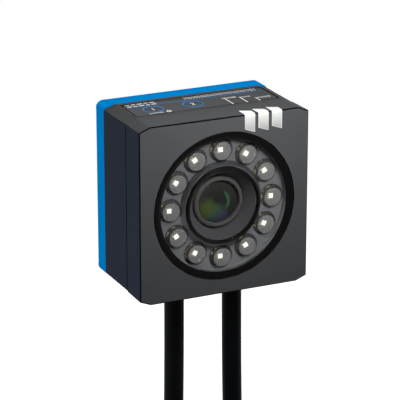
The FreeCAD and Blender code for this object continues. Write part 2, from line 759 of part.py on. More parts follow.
# ---------------------------------------------------------------- assembly
def build():
    nodes = {
        "front_cover": front_cover(),
        "front_gasket": front_gasket(),
        "main_housing": main_housing(),
        "rear_seal": seal_loop(HOUSING_END, HOUSING_END + 0.8),
        "rear_cover": rear_cover(),
        "mount_inserts": mount_inserts(),
        "housing_screws": housing_screws(),
        "bezel_ring": bezel_ring(),
        "ring_light_cover": ring_light_cover(),
        "reflector_plate": reflector_plate(),
        "led_lens_ring": led_lens_ring(),
        "led_board": led_board(),
        "led_packages": led_squares(LED_SIZE, LED_FRONT, LENS_RING_REAR),
        "led_dies": led_squares(DIE_SIZE, LED_FRONT - DIE_T, LED_FRONT),
        "optics_carrier": optics_carrier(),
        "carrier_screws": carrier_screws(),
        "light_shield": light_shield(),
        "lens_baffle": lens_baffle(),
        "lens_window": lens_window(),
        "lens_barrel": lens_barrel(),
        "lens_front_element": lens_front_element(),
        "lens_rear_element": lens_rear_element(),
        "aperture_stop": aperture_stop(),
        "lens_lock_ring": lens_lock_ring(),
        "lens_holder": lens_holder(),
        "image_sensor": image_sensor(),
        "sensor_board": square_board(BOARD_HALF, SENSOR_BOARD),
        "standoffs": standoffs(),
        "board_spacers": board_spacers(),
        "processor_board": square_board(BOARD_HALF, MAIN_BOARD),
        "board_screws": board_screws(),
        "board_connector": board_connector(),
        "processor_chip": processor_chip(),
        "thermal_pad": thermal_pad(),
        "label": label(),
        "label_print_blue": label_print_blue(),
        "label_print_white": label_print_white(),
        "keypad_board": keypad_board(),
        "tact_switches": tact_switches(),
        "status_leds": status_leds(),
    }
    for name, x in BUTTONS.items():
        nodes[name] = button(x)
    for name, left in zip(("left", "middle", "right"), WINDOW_LEFTS):
        nodes["light_pipe_" + name] = light_pipe(left)
    for name, route in CABLE_ROUTES.items():
        nodes["cable_gland_" + name] = cable_gland(route)
        nodes["cable_" + name] = cable_tube(name, route)
        nodes["plug_body_" + name] = plug_body(route)
        nodes["plug_insert_" + name] = plug_insert(route)
        nodes["plug_pins_" + name] = plug_pins(name, route)
        nodes["coupling_" + name] = coupling(route)
    return nodes


os.makedirs("parts", exist_ok=True)
for node_name, shape in build().items():
    shape.exportStep("parts/" + node_name + ".step")
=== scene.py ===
"""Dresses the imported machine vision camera: housing, ring light, lens, keypad, cables and stage."""

import json
import math
import random

import bmesh
import bpy
from bpy.props import FloatProperty, FloatVectorProperty, IntProperty, PointerProperty
from mathutils import Matrix, Vector


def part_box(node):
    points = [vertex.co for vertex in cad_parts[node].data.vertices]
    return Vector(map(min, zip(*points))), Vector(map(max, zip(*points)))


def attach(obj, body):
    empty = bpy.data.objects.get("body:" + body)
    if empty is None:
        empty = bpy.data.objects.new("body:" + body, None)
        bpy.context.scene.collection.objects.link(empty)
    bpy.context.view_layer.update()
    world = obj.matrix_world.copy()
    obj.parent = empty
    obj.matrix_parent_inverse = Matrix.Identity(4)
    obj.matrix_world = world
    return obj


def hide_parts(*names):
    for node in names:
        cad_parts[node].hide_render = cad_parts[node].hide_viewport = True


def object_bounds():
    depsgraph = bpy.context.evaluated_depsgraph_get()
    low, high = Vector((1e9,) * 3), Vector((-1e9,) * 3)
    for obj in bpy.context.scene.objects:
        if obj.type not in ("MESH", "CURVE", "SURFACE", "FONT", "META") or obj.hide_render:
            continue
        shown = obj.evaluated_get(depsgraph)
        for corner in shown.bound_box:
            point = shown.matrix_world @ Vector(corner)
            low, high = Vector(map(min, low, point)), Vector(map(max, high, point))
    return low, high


bl_info = {
    "name": "Machine vision camera",
    "version": (1, 0, 0),
    "blender": (4, 5, 0),
    "location": "3D View > Sidebar > Vision camera",
    "description": "Models the pieces and finishes of a machine vision camera on its packed frame",
    "category": "Object",
}

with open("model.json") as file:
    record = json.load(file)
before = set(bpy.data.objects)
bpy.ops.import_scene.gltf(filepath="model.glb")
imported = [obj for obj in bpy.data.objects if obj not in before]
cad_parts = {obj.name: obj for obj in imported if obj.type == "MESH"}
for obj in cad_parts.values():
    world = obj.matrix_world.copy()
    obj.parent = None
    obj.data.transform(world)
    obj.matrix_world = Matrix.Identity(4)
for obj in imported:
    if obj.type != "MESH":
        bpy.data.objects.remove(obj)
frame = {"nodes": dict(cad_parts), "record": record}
CAD_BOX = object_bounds()

MM = 0.001
SLOT_OF = {part["node"]: part["material_slot"] for part in frame["record"]["subparts"]}
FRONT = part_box("front_cover")[0].y
LABEL_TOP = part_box("label")[1].z
PRINT_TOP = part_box("label_print_white")[1].z

# Depths behind the front face and radii in the optics, in millimetres.
LENS_TIP = 1.62
PLATE_FRONT = 2.9
DIE_FRONT = 3.12
CUP_FRONT = 3.2
CUP_FLOOR = 4.05
LENS_REAR = 4.18
LED_CIRCLE = 16.67
COLLAR_FOOT = 13.4
SHIELD_RADIUS = 11.92
GLASS_RADIUS = 6.7

# The distance of the rear screws and inserts from the middle, across and up, in millimetres.
SCREW_PLACE = 22.9
INSERT_PLACE = 15.0

SHELL_CREASE = 32.0
LENS_AXIS = Vector((0, 1, 0))
UP = Vector((0, 0, 1))
SIDES = ("left", "right")


def mm(*values):
    """Millimetres as metres."""
    return tuple(value * MM for value in values)


def at(depth):
    """The Y of a plane at a depth, in millimetres, behind the front face."""
    return FRONT + depth * MM


def length(name, description, default):
    return FloatProperty(name=name, description=description, default=default * MM,
                         min=0.0, unit="LENGTH", precision=6)


def colour(name, description, default):
    return FloatVectorProperty(name=name, description=description, default=default,
                               min=0.0, max=1.0, size=3, subtype="COLOR")


# ---------------------------------------------------------------- sizes and colours
class HousingSizes(bpy.types.PropertyGroup):
    edge: length("Edge radius", "Rounding of the front cover's edges", 0.2)
    seam_edge: length("Seam edge radius", "Rounding of the main housing's edges", 0.18)
    rear_edge: length("Rear edge radius", "Rounding of the rear cover's edges", 0.12)
    rear_corner: length("Rear corner radius", "Rounding of the rear cover's cut corners", 0.9)
    label_edge: length("Label edge radius", "Rounding of the label film's edge", 0.06)
    thread_pitch: length("Insert thread pitch", "Pitch of the thread in the mounting inserts", 0.7)


class OpticsSizes(bpy.types.PropertyGroup):
    steps: IntProperty(name="Steps round", description="Steps in a full turn of the optics",
                       default=160, min=24, max=512)
    bezel_edge: length("Bezel edge", "Rounding of the bezel's edges", 0.12)
    bezel_step: length("Bezel step", "Radius where the bezel's slope changes", 21.55)
    pane_edge: length("Pane edge", "Rounding of the clear panes' rims", 0.06)
    hole_edge: length("Hole edge", "Rounding of the reflector's holes", 0.14)
    shield_edge: length("Shield edge", "Rounding of the shield ring's front edge", 0.14)
    barrel_edge: length("Barrel edge", "Rounding of the lens barrel's rim", 0.12)


class WindowSizes(bpy.types.PropertyGroup):
    bend: length("Outer bend", "Radius of the outer bend over the cover's edge", 0.75)
    thickness: length("Thickness", "Wall of a light window", 1.55)
    low_left: length("Low end, left", "Height of the lower end's left corner", 22.9)
    low_right: length("Low end, right", "Height of the lower end's right corner", 21.7)
    back_left: length("Back end, left", "Depth of the back end's left corner", 4.4)
    back_right: length("Back end, right", "Depth of the back end's right corner", 2.95)
    # The bright rim is a painted highlight along the window's edges.
    rim: length("Bright rim", "Width of the brighter rim", 0.34)


class CableSizes(bpy.types.PropertyGroup):
    diameter: length("Cable diameter", "Outside diameter of a cable", 6.1)
    free_length: length("Cable length", "Length of a cable between gland and plug", 120.0)
    plug_edge: length("Plug edge", "Rounding of the plug's moulding", 0.16)


class StageSettings(bpy.types.PropertyGroup):
    azimuth: FloatProperty(name="Azimuth", description="Camera's turn round the object",
                           default=math.radians(-24.98), subtype="ANGLE")
    elevation: FloatProperty(name="Elevation", description="Camera's height angle",
                             default=math.radians(19.07), subtype="ANGLE")
    distance: length("Distance", "Camera's distance from its target", 687.6)
    offset_right: FloatProperty(name="Offset right", description="Target's shift to the right",
                                default=-7.4 * MM, unit="LENGTH", precision=5)
    offset_up: FloatProperty(name="Offset up", description="Target's shift upwards",
                             default=1.9 * MM, unit="LENGTH", precision=5)
    focal_length: FloatProperty(name="Focal length", description="Lens of the camera in mm",
                                default=209.57, min=1.0, unit="CAMERA")
    fill: FloatProperty(name="Fill", description="Brightness of the surroundings as a light",
                        default=0.06, min=0.0, max=2.0)


class FinishColours(bpy.types.PropertyGroup):
    body: colour("Body coat", "Powder coat of the housing", (0.073, 0.075, 0.078))
    # The side coat is painted shade: the darker tone that the housing's sides are given.
    side: colour("Side coat", "Smoother coat on the housing's sides", (0.0165, 0.0205, 0.0325))
    blue: colour("Blue", "Rear cover and printed lines", (0.0, 0.178, 0.48))
    label: colour("Label film", "Ground colour of the keypad's film", (0.075, 0.077, 0.079))
    reflector: colour("Reflector", "Grey moulding round the light's lenses", (0.105, 0.108, 0.113))
    window: colour("Light window", "Milky plastic of the light windows", (0.70, 0.698, 0.675))
    jacket: colour("Cable jacket", "Jacket of the cables", (0.0022, 0.0026, 0.0032))


class VisionCameraSettings(bpy.types.PropertyGroup):
    housing: PointerProperty(type=HousingSizes)
    optics: PointerProperty(type=OpticsSizes)
    windows: PointerProperty(type=WindowSizes)
    cables: PointerProperty(type=CableSizes)
    stage: PointerProperty(type=StageSettings)
    colours: PointerProperty(type=FinishColours)


def settings():
    return bpy.context.scene.vision_camera


# ---------------------------------------------------------------- shader kit
class Signal:
    """A number that changes over a surface; arithmetic on it adds Math nodes."""

    def __init__(self, finish, socket):
        self.finish = finish
        self.socket = socket

    def _math(self, operation, *values, clamp=False):
        node = self.finish.node("ShaderNodeMath", {"operation": operation, "use_clamp": clamp},
                                dict(enumerate(values)))
        return Signal(self.finish, node.outputs[0])

    def __add__(self, other):
        return self._math("ADD", self, other)

    def __sub__(self, other):
        return self._math("SUBTRACT", self, other)

    def __mul__(self, other):
        return self._math("MULTIPLY", self, other)

    def __truediv__(self, other):
        return self._math("DIVIDE", self, other)

    def __rsub__(self, other):
        return self._math("SUBTRACT", other, self)

    __radd__ = __add__
    __rmul__ = __mul__

    def at_most(self, other):
        return self._math("MINIMUM", self, other)

    def at_least(self, other):
        return self._math("MAXIMUM", self, other)

    def clamped(self):
        return self._math("ADD", self, 0.0, clamp=True)

    def power(self, exponent):
        return self._math("POWER", self, exponent)

    def size(self):
        return self._math("ABSOLUTE", self)

    def band(self, low, high, soft):
        """1 between low and high, falling to 0 over a soft margin."""
        return self.between(low - soft, low) * (1 - self.between(high, high + soft))

    def root(self):
        return self._math("SQRT", self)

    def stretched(self, gain):
        """The signal's contrast raised about a half, kept from 0 to 1."""
        return ((self - 0.5) * gain + 0.5).clamped()

    def between(self, low, high):
        """0 below low, 1 above high, smooth between."""
        node = self.finish.node("ShaderNodeMapRange", {"interpolation_type": "SMOOTHSTEP"},
                                {"Value": self, "From Min": low, "From Max": high})
        return Signal(self.finish, node.outputs["Result"])


class Graph:
    """A node tree filled by one method."""

    def __init__(self, tree):
        self.tree = tree
        tree.nodes.clear()

    def node(self, kind, options=None, values=None):
        """A node of a kind, its options set first, then its sockets' values or links."""
        node = self.tree.nodes.new(kind)
        for key, value in (options or {}).items():
            setattr(node, key, value)
        for key, value in (values or {}).items():
            self.feed(node.inputs[key], value)
        return node

    def feed(self, socket, value):
        if isinstance(value, Signal):
            value = value.socket
        if isinstance(value, bpy.types.NodeSocket):
            self.tree.links.new(value, socket)
        elif socket.type == "RGBA" and len(value) == 3:
            socket.default_value = (*value, 1.0)
        else:
            socket.default_value = value

    def seen_directly(self):
        """1 for rays from the camera, from mirrors and through glass, else 0."""
        path = self.node("ShaderNodeLightPath")
        seen = Signal(self, path.outputs["Is Camera Ray"])
        for name in ("Is Glossy Ray", "Is Transmission Ray"):
            seen = seen.at_least(Signal(self, path.outputs[name]))
        return seen


class Finish(Graph):
    """One material: a Principled shader and the nodes that feed it."""

    def __init__(self, name, **constants):
        self.material = bpy.data.materials.new(name)
        self.material.use_nodes = True
        super().__init__(self.material.node_tree)
        self.shader = self.node("ShaderNodeBsdfPrincipled")
        self.paint(**constants)
        self.surface = self.node("ShaderNodeOutputMaterial", {},
                                 {"Surface": self.shader.outputs["BSDF"]})
        self.coordinates = None

    def place(self):
        """Object coordinates, in metres."""
        if self.coordinates is None:
            self.coordinates = self.node("ShaderNodeTexCoord").outputs["Object"]
        return self.coordinates

    def axes(self, vector=None):
        node = self.node("ShaderNodeSeparateXYZ", {}, {0: vector or self.place()})
        return [Signal(self, output) for output in node.outputs]

    def facing(self):
        """The way the surface faces: how far right, back and up."""
        return self.axes(self.node("ShaderNodeTexCoord").outputs["Normal"])

    def mapped(self, scale=(1, 1, 1), turn=(0, 0, 0)):
        node = self.node("ShaderNodeMapping", {},
                         {"Vector": self.place(), "Rotation": turn, "Scale": scale})
        return node.outputs[0]

    def noise(self, grain, detail=2.0, vector=None):
        """Soft random spots of about a given size, in metres."""
        node = self.node("ShaderNodeTexNoise", {},
                         {"Vector": vector or self.place(), "Scale": 1.0 / grain,
                          "Detail": detail})
        return Signal(self, node.outputs[0])

    def mix(self, share, first, second):
        node = self.node("ShaderNodeMix", {"data_type": "RGBA"}, {0: share, 6: first, 7: second})
        return node.outputs[2]

    def bump(self, height, depth, strength=1.0):
        node = self.node("ShaderNodeBump", {},
                         {"Height": height, "Distance": depth, "Strength": strength})
        self.feed(self.shader.inputs["Normal"], node.outputs[0])

    def paint(self, **inputs):
        for key, value in inputs.items():
            self.feed(self.shader.inputs[key.replace("_", " ")], value)


def shade(base, factor):
    return tuple(min(1.0, channel * factor) for channel in base)


def distance(first, second):
    """The distance of a place from an axis, from its two signals."""
    return (first.power(2.0) + second.power(2.0)).root()


def towards_lower_right(x, z):
    """0 at the optics' upper left, 1 at their lower right: where the painted light and shade inside
    the window goes.
    """
    reach, sideways = 20.0 * MM, 0.4
    return ((x * sideways - z) / reach * 0.5 + 0.5).clamped()


# ---------------------------------------------------------------- finishes
def powder_coat(name, base, shaded_side_base):
    """Fine grained coat; the front and top in a lighter coat as painted light, the sides in a darker
    coat and the rounded edges round the front and back dark, as painted shade.
    """
    finish = Finish(name, IOR=1.45, Specular_IOR_Level=0.006)
    grain = finish.noise(0.30 * MM, 3.0).stretched(2.2)
    cloud = finish.noise(7 * MM, 2.0).stretched(1.6)
    tone = (grain * 0.75 + cloud * 0.25).clamped()
    across, ahead, above = finish.facing()
    # Painted light and shade: faces turned up or forward get the lighter coat, faces turned left less
    # of it, the sides the darker coat.
    turned_left = across.at_most(0.0) * 0.45
    lit_facing = (above + turned_left).at_least(-1 * ahead).between(0.15, 0.95)
    lit_coat = finish.mix(tone, shade(base, 0.86), shade(base, 1.14))
    shaded_side_coat = finish.mix(tone, shade(shaded_side_base, 0.82), shade(shaded_side_base, 1.2))
    # Painted shade: the rounded edges round the front and back faces are painted dark.
    shaded_edge = ahead.size().band(0.22, 0.93, 0.05)
    flats = finish.mix(lit_facing, shaded_side_coat, lit_coat)
    finish.paint(Base_Color=finish.mix(shaded_edge, flats, shade(shaded_side_base, 0.2)),
                 Roughness=0.5 + grain * 0.12 + cloud * 0.04)
    finish.bump(grain, 0.03 * MM, 0.35)
    return finish.material


def moulded(name, base, roughness=0.4, grain=0.25, relief=0.01, contrast=0.1, specular=0.5):
    """Moulded plastic with a fine grain and faint flow clouds."""
    finish = Finish(name, IOR=1.47, Specular_IOR_Level=specular)
    fine = finish.noise(grain * MM, 2.0).stretched(1.8)
    cloud = finish.noise(grain * 40 * MM, 2.0).stretched(1.5)
    tone = (fine * 0.5 + cloud * 0.5).clamped()
    low, high = shade(base, 1 - contrast), shade(base, 1 + contrast)
    finish.paint(Base_Color=finish.mix(tone, low, high),
                 Roughness=roughness - 0.04 + fine * 0.06 + cloud * 0.04)
    finish.bump(fine, relief * MM, 0.5)
    return finish.material


def blue_moulding(name, base):
    """The rear cover's dyed plastic, painted lighter where it faces up as painted light."""
    finish = Finish(name, IOR=1.47, Specular_IOR_Level=0.0)
    above = finish.facing()[2]
    fine = finish.noise(0.3 * MM, 2.0).stretched(1.8)
    cloud = finish.noise(9 * MM, 2.0).stretched(1.5)
    tone = (fine * 0.5 + cloud * 0.5).clamped()
    flat = finish.mix(tone, shade(base, 0.96), shade(base, 1.04))
    # Painted light: faces turned up get a lighter blue.
    lit_top = finish.mix(tone, shade(base, 1.6), shade(base, 1.7))
    finish.paint(Base_Color=finish.mix(above.between(0.3, 0.9), flat, lit_top),
                 Roughness=0.4 + fine * 0.06 + cloud * 0.04)
    finish.bump(fine, 0.008 * MM, 0.5)
    return finish.material


def recessed(name, base, roughness, lower_right_shading, grain=0.2, specular=0.15, collar=0.0):
    """A moulding inside the window: satin, with painted light and shade: its tone changes by a given
    factor towards its lower right, and its collar is painted bright where it faces down and dark
    where it faces up.
    """
    finish = Finish(name, IOR=1.47, Specular_IOR_Level=specular)
    x, _, z = finish.axes()
    fine = finish.noise(grain * MM, 2.0).stretched(1.8)
    # Painted light and shade: the tone shifts towards the lower right.
    tone = finish.mix(towards_lower_right(x, z), base, shade(base, lower_right_shading))
    if collar:
        # Painted light and shade on the collar: bright where it faces down, dark where it faces up.
        above = finish.facing()[2]
        outside = distance(x, z).between((collar - 0.1) * MM, (collar + 0.1) * MM)
        collar_light_and_shade = finish.mix(above.between(-0.5, 0.25), shade(base, 3.6), shade(base, 0.3))
        tone = finish.mix(outside, collar_light_and_shade, tone)
    finish.paint(Base_Color=finish.mix(fine * 0.12, tone, shade(base, 0.5)),
                 Roughness=roughness + fine * 0.06)
    finish.bump(fine, 0.005 * MM, 0.5)
    return finish.material


def turned_metal(name, base, roughness=0.25, axis=2, contrast=0.08):
    """Metal turned on a lathe: faint tool lines across its axis, and handling marks."""
    finish = Finish(name, Metallic=1.0)
    squeeze = [1.0, 1.0, 1.0]
    squeeze[axis] = 14.0
    lines = finish.noise(0.9 * MM, 3.0, finish.mapped(squeeze)).stretched(2.0)
    marks = finish.noise(1.6 * MM, 4.0).stretched(1.8)
    tone = (lines * 0.6 + marks * 0.4).clamped()
    low, high = shade(base, 1 - contrast), shade(base, 1 + contrast)
    finish.paint(Base_Color=finish.mix(tone, low, high),
                 Roughness=roughness + lines * 0.1 + marks * 0.08)
    finish.bump(lines, 0.006 * MM, 0.5)
    return finish.material


def clear_pane(name, strength):
    """A thin clear pane: it mirrors a little, more at a low angle, and lets the rest through."""
    finish = Finish(name, Base_Color=(1, 1, 1), Metallic=1.0)
    gloss = finish.node("ShaderNodeFresnel", {}, {"IOR": 1.49})
    smear = finish.noise(9 * MM, 3.0).between(0.4, 0.8)
    finish.paint(Roughness=0.02 + smear * 0.03,
                 Alpha=Signal(finish, gloss.outputs[0]) * strength)
    return finish.material


def clear_lens(name):
    """The light's lenses: clear cones with a finely matted tip; the tip painted lighter towards the
    lower right as painted light, the cone walls dark and darker where they face up as painted shade,
    and yellow painted glints glowing on their upper left side.
    """
    finish = Finish(name, Roughness=0.25, IOR=1.49, Specular_IOR_Level=0.1,
                    Emission_Strength=1.0)
    x, y, z = finish.axes()
    across, _, above = finish.facing()
    # Painted light: the tip is lighter towards the lower right.
    matt = finish.mix(towards_lower_right(x, z), (0.47, 0.47, 0.465), (0.70, 0.70, 0.69))
    grain = finish.noise(0.18 * MM, 2.0).stretched(1.6)
    tip = 1 - y.between(at(LENS_TIP + 0.08), at(LENS_TIP + 0.16))
    cone = (1 - tip) * (1 - y.between(at(PLATE_FRONT), at(PLATE_FRONT + 0.06)))
    # Painted glints: a yellow glow on the cone's upper left side stands in for reflections.
    upper_left = (above * 0.55 - across * 0.8).between(0.5, 0.66)
    painted_glint = cone * upper_left * y.band(at(2.45), at(2.7), 0.1 * MM)
    painted_glint = painted_glint * finish.noise(0.8 * MM, 0.0).between(0.54, 0.62)
    glow = (0.24, 0.21, 0.09)
    # Painted shade: the cone wall is dark, darker where it faces up.
    wall = finish.mix(above.between(-0.5, 0.5), (0.095, 0.095, 0.097), (0.05, 0.05, 0.05))
    bare, tip_share, cone_share = 0.04, 0.22, 0.66
    finish.paint(Base_Color=finish.mix(tip, wall, matt),
                 Alpha=(bare + tip * (tip_share + grain * 0.05) + cone * cone_share).clamped(),
                 Emission_Color=finish.mix(painted_glint, (0, 0, 0), glow))
    finish.bump(grain * tip, 0.004 * MM, 0.3)
    return finish.material


def led_cup(name):
    """A light source's package: pale cup with a yellow-beige floor."""
    finish = Finish(name, Roughness=0.5, IOR=1.47, Specular_IOR_Level=0.2)
    _, y, _ = finish.axes()
    floor = y.band(at(CUP_FLOOR - 0.1), at(CUP_FLOOR + 0.07), 0.05 * MM)
    grain = finish.noise(0.1 * MM, 2.0)
    walls = finish.mix(grain, (0.06, 0.06, 0.057), (0.08, 0.08, 0.075))
    phosphor = finish.mix(grain, (0.62, 0.55, 0.30), (0.78, 0.70, 0.42))
    finish.paint(Base_Color=finish.mix(floor, walls, phosphor), Roughness=0.42 + grain * 0.12)
    finish.bump(grain, 0.004 * MM, 0.4)
    return finish.material


# Painted reflections of the coating: centre and size in lens radii, share, colour.
PAINTED_COATING_REFLECTIONS = (
    (-0.28, -0.82, 0.55, 0.7, (0.018, 0.052, 0.050)),
    (-0.52, -0.28, 0.62, 0.9, (0.058, 0.082, 0.016)),
    (-0.05, -0.42, 0.48, 0.7, (0.026, 0.080, 0.040)),
    (0.22, -0.76, 0.50, 0.8, (0.036, 0.042, 0.082)),
)


def coated_glass(name):
    """Lens glass, darker in the middle and lighter towards its rim, with the coating's reflections
    painted in its colour: green at lower left and upper right, violet below, and a green arc at the
    right.
    """
    finish = Finish(name, Roughness=0.04, IOR=1.5, Specular_IOR_Level=0.07)
    x, _, z = finish.axes()
    across, up = x / (GLASS_RADIUS * MM), z / (GLASS_RADIUS * MM)
    waver = finish.noise(2.6 * MM, 1.0) - 0.5

    reach = distance(across, up)
    tone = finish.mix(reach.between(0.3, 1.0), (0.010, 0.011, 0.010), (0.022, 0.021, 0.020))
    # Painted reflections of the coating, laid over the glass colour.
    for centre_x, centre_z, size, share, reflection_tint in PAINTED_COATING_REFLECTIONS:
        apart = distance(across - centre_x, up - centre_z)
        spot = 1 - (apart / size + waver * 0.5).between(0.25, 1.0)
        tone = finish.mix(spot * share, tone, reflection_tint)
    # Painted reflection: a green arc on the right side.
    arc = reach.band(0.46, 0.52, 0.08) * across.between(0.2, 0.4) * up.band(-0.25, 0.45, 0.2)
    tone = finish.mix(arc * 0.8, tone, (0.025, 0.110, 0.045))
    finish.paint(Base_Color=tone, Roughness=0.03 + waver.size() * 0.04)
    return finish.material


def milky_window(name, base):
    """Milky plastic with painted light and shade: a rim painted brighter as a painted highlight, a
    core painted greyer towards its lower end as painted shade, and faces turned up painted lighter as
    painted light.
    """
    finish = Finish(name, Roughness=0.3, IOR=1.49, Subsurface_Weight=0.15,
                    Subsurface_Scale=0.6 * MM)
    near = finish.axes(finish.node("ShaderNodeUVMap", {"uv_map": "window_near"}).outputs[0])
    far = finish.axes(finish.node("ShaderNodeUVMap", {"uv_map": "window_far"}).outputs[0])
    edge = near[0].at_most(near[1]).at_most(far[0].at_most(far[1]))
    # Painted highlight: the rim is brighter.
    rim = 1 - edge.between(0.6, 1.1)
    z, above = finish.axes()[2], finish.facing()[2]
    low_end, rise = 22.4 * MM, 4.6 * MM
    # Painted shade: the core greys towards its lower end.
    downward_shade = ((z - low_end) / rise).clamped() + finish.noise(1.3 * MM, 2.0) * 0.06
    core = finish.mix(downward_shade.clamped(), shade(base, 0.56), shade(base, 0.93))
    front = finish.mix(rim * 0.6, core, base)
    # Painted light: faces turned up are lighter.
    finish.paint(Base_Color=finish.mix(above.between(0.4, 0.9), front, shade(base, 1.15)))
    return finish.material


def label_film(name, base):
    """The keypad's matt film: fine grain, and a dark line painted round its rounded edge as painted
    shade.
    """
    finish = Finish(name, IOR=1.47, Specular_IOR_Level=0.006)
    low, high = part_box("label")
    middle, half = (low + high) / 2, (high - low) / 2
    x, y, _ = finish.axes()
    corner, margin, blur = mm(1.3, 0.3, 0.06)
    over_x = ((x - middle.x).size() - (half.x - corner)).at_least(0.0)
    over_y = ((y - middle.y).size() - (half.y - corner)).at_least(0.0)
    inset = corner - margin
    # Painted shade: a dark line round the film's edge.
    edge_shade_line = distance(over_x, over_y).between(inset - blur, inset + blur)
    fine = finish.noise(0.16 * MM, 2.0).stretched(1.8)
    film = finish.mix(fine, shade(base, 0.93), shade(base, 1.07))
    finish.paint(Base_Color=finish.mix(edge_shade_line, film, shade(base, 0.16)),
                 Roughness=0.46 + fine * 0.08)
    finish.bump(fine, 0.006 * MM, 0.5)
    return finish.material


def printed_ink(name, base):
    finish = Finish(name, IOR=1.45, Specular_IOR_Level=0.05)
    mesh_marks = finish.noise(0.12 * MM, 1.0).stretched(1.6)
    finish.paint(Base_Color=finish.mix(mesh_marks, shade(base, 0.9), shade(base, 1.06)),
                 Roughness=0.45 + mesh_marks * 0.08)
    finish.bump(mesh_marks, 0.004 * MM, 0.4)
    return finish.material


def board_mask(name, base):
    """Solder mask over copper lines, with tinned pads."""
    finish = Finish(name, IOR=1.5)
    brick = finish.node("ShaderNodeTexBrick", {"offset": 0.37, "squash": 0.6},
                        {"Vector": finish.mapped(turn=(math.pi / 2, 0, 0)), "Scale": 260.0,
                         "Mortar Size": 0.05, "Color1": (0, 0, 0), "Color2": (0.5, 0.5, 0.5),
                         "Mortar": (1, 1, 1)})
    lines = Signal(finish, brick.outputs["Fac"])
    pads = finish.node("ShaderNodeTexVoronoi", {"feature": "F1"},
                       {"Vector": finish.place(), "Scale": 420.0})
    dots = 1 - Signal(finish, pads.outputs["Distance"]).between(0.16, 0.2)
    traced = finish.mix(lines * 0.6, base, shade(base, 1.7))
    finish.paint(Base_Color=finish.mix(dots * 0.5, traced, (0.4, 0.4, 0.38)),
                 Roughness=0.35 + finish.noise(0.4 * MM) * 0.1)
    finish.bump(lines + dots, 0.02 * MM, 0.4)
    return finish.material


def lit_die(name):
    """The light source's chip: warm white, with its fine contact fingers."""
    finish = Finish(name, Roughness=0.4, Emission_Strength=1.5)
    _, y, _ = finish.axes()
    grain = finish.noise(0.16 * MM, 1.0)
    glow = finish.mix(grain.between(0.35, 0.65), (1.0, 0.93, 0.74), (1.0, 0.99, 0.9))
    face = 1 - y.between(at(DIE_FRONT + 0.005), at(DIE_FRONT + 0.02))
    finish.paint(Base_Color=(0.9, 0.86, 0.7), Emission_Color=finish.mix(face, (0, 0, 0), glow))
    return finish.material


def jacket(name, base):
    """Extruded cable jacket: satin, with faint lines along it."""
    finish = Finish(name, IOR=1.48, Specular_IOR_Level=0.02)
    lines = finish.noise(0.7 * MM, 2.0, finish.mapped((1, 1, 0.05))).stretched(1.8)
    scuff = finish.noise(3.0 * MM, 3.0).stretched(1.5)
    finish.paint(Base_Color=finish.mix(scuff, shade(base, 0.85), shade(base, 1.3)),
                 Roughness=0.32 + scuff * 0.1 + lines * 0.05)
    finish.bump(lines, 0.01 * MM, 0.5)
    return finish.material


# Base colour, roughness, grain and relief in millimetres, contrast, specular level.
MOULDINGS = {
    "bezel_black": ((0.002, 0.002, 0.002), 0.16, 0.5, 0.002, 0.3, 0.05),
    "carrier_black": ((0.022, 0.022, 0.024), 0.5, 0.2, 0.01, 0.12),
    "shield_black": ((0.003, 0.003, 0.003), 0.3, 0.3, 0.004, 0.2, 0.08),
    "chip_black": ((0.02, 0.02, 0.021), 0.55, 0.12, 0.008, 0.15),
    "thermal_pad": ((0.3, 0.34, 0.42), 0.7, 0.4, 0.02, 0.06),
    "gasket": ((0.007, 0.007, 0.008), 0.7, 0.2, 0.01, 0.2, 0.3),
    "gland_black": ((0.011, 0.011, 0.012), 0.6, 0.3, 0.015, 0.15, 0.35),
    "plug_black": ((0.014, 0.014, 0.016), 0.45, 0.25, 0.012, 0.12, 0.4),
    "insert_black": ((0.02, 0.02, 0.021), 0.4, 0.2, 0.008, 0.12),
}

# Base colour, roughness, the lathe's axis (0 for X, 1 for Y, 2 for Z), contrast.
METALS = {
    "screw_steel": ((0.5, 0.5, 0.51), 0.3, 1),
    "brass": ((0.72, 0.5, 0.2), 0.28, 1),
    "contact_gold": ((0.9, 0.63, 0.24), 0.18, 2, 0.05),
    "coupling_nickel": ((0.47, 0.455, 0.425), 0.24, 2, 0.16),
}

# Base colour, roughness, tone at the lower right as painted light and shade, grain in millimetres,
# specular level.
RECESSED = {
    "baffle_grey": ((0.076, 0.077, 0.081), 0.6, 0.62, 0.15, 0.03),
    "barrel_black": ((0.074, 0.073, 0.070), 0.4, 1.0, 0.3, 0.05),
}


def own_finishes(colours):
    blue, body, label = tuple(colours.blue), tuple(colours.body), tuple(colours.label)
    return {
        "body_black": lambda n: powder_coat(n, body, tuple(colours.side)),
        "rear_blue": lambda n: blue_moulding(n, blue),
        "clear_pane": lambda n: clear_pane(n, 0.03),
        # The reflector is painted lighter towards its lower right, with painted light and shade on
        # its collar.
        "reflector_grey": lambda n: recessed(n, tuple(colours.reflector), 0.38, 1.75,
                                             collar=COLLAR_FOOT),
        "clear_lens": clear_lens,
        "board_green": lambda n: board_mask(n, (0.02, 0.09, 0.05)),
        "board_black": lambda n: board_mask(n, (0.02, 0.02, 0.022)),
        "led_package": led_cup,
        "led_die": lit_die,
        "lens_glass": coated_glass,
        "label_film": lambda n: label_film(n, label),
        "print_blue": lambda n: printed_ink(n, blue),
        "print_white": lambda n: printed_ink(n, (0.82, 0.82, 0.81)),
        "button_film": lambda n: moulded(n, shade(label, 0.95), 0.48, 0.16, 0.006, 0.07, 0.006),
        "light_white": lambda n: milky_window(n, tuple(colours.window)),
        "cable_jacket": lambda n: jacket(n, tuple(colours.jacket)),
    }


def finish_for(slot_name):
    """The material of a slot, made the first time it is asked for."""
    name = "finish_" + slot_name
    if name not in bpy.data.materials:
        for maker, rows in ((moulded, MOULDINGS), (turned_metal, METALS), (recessed, RECESSED)):
            if slot_name in rows:
                maker(name, *rows[slot_name])
                break
        else:
            own_finishes(settings().colours)[slot_name](name)
    return bpy.data.materials[name]


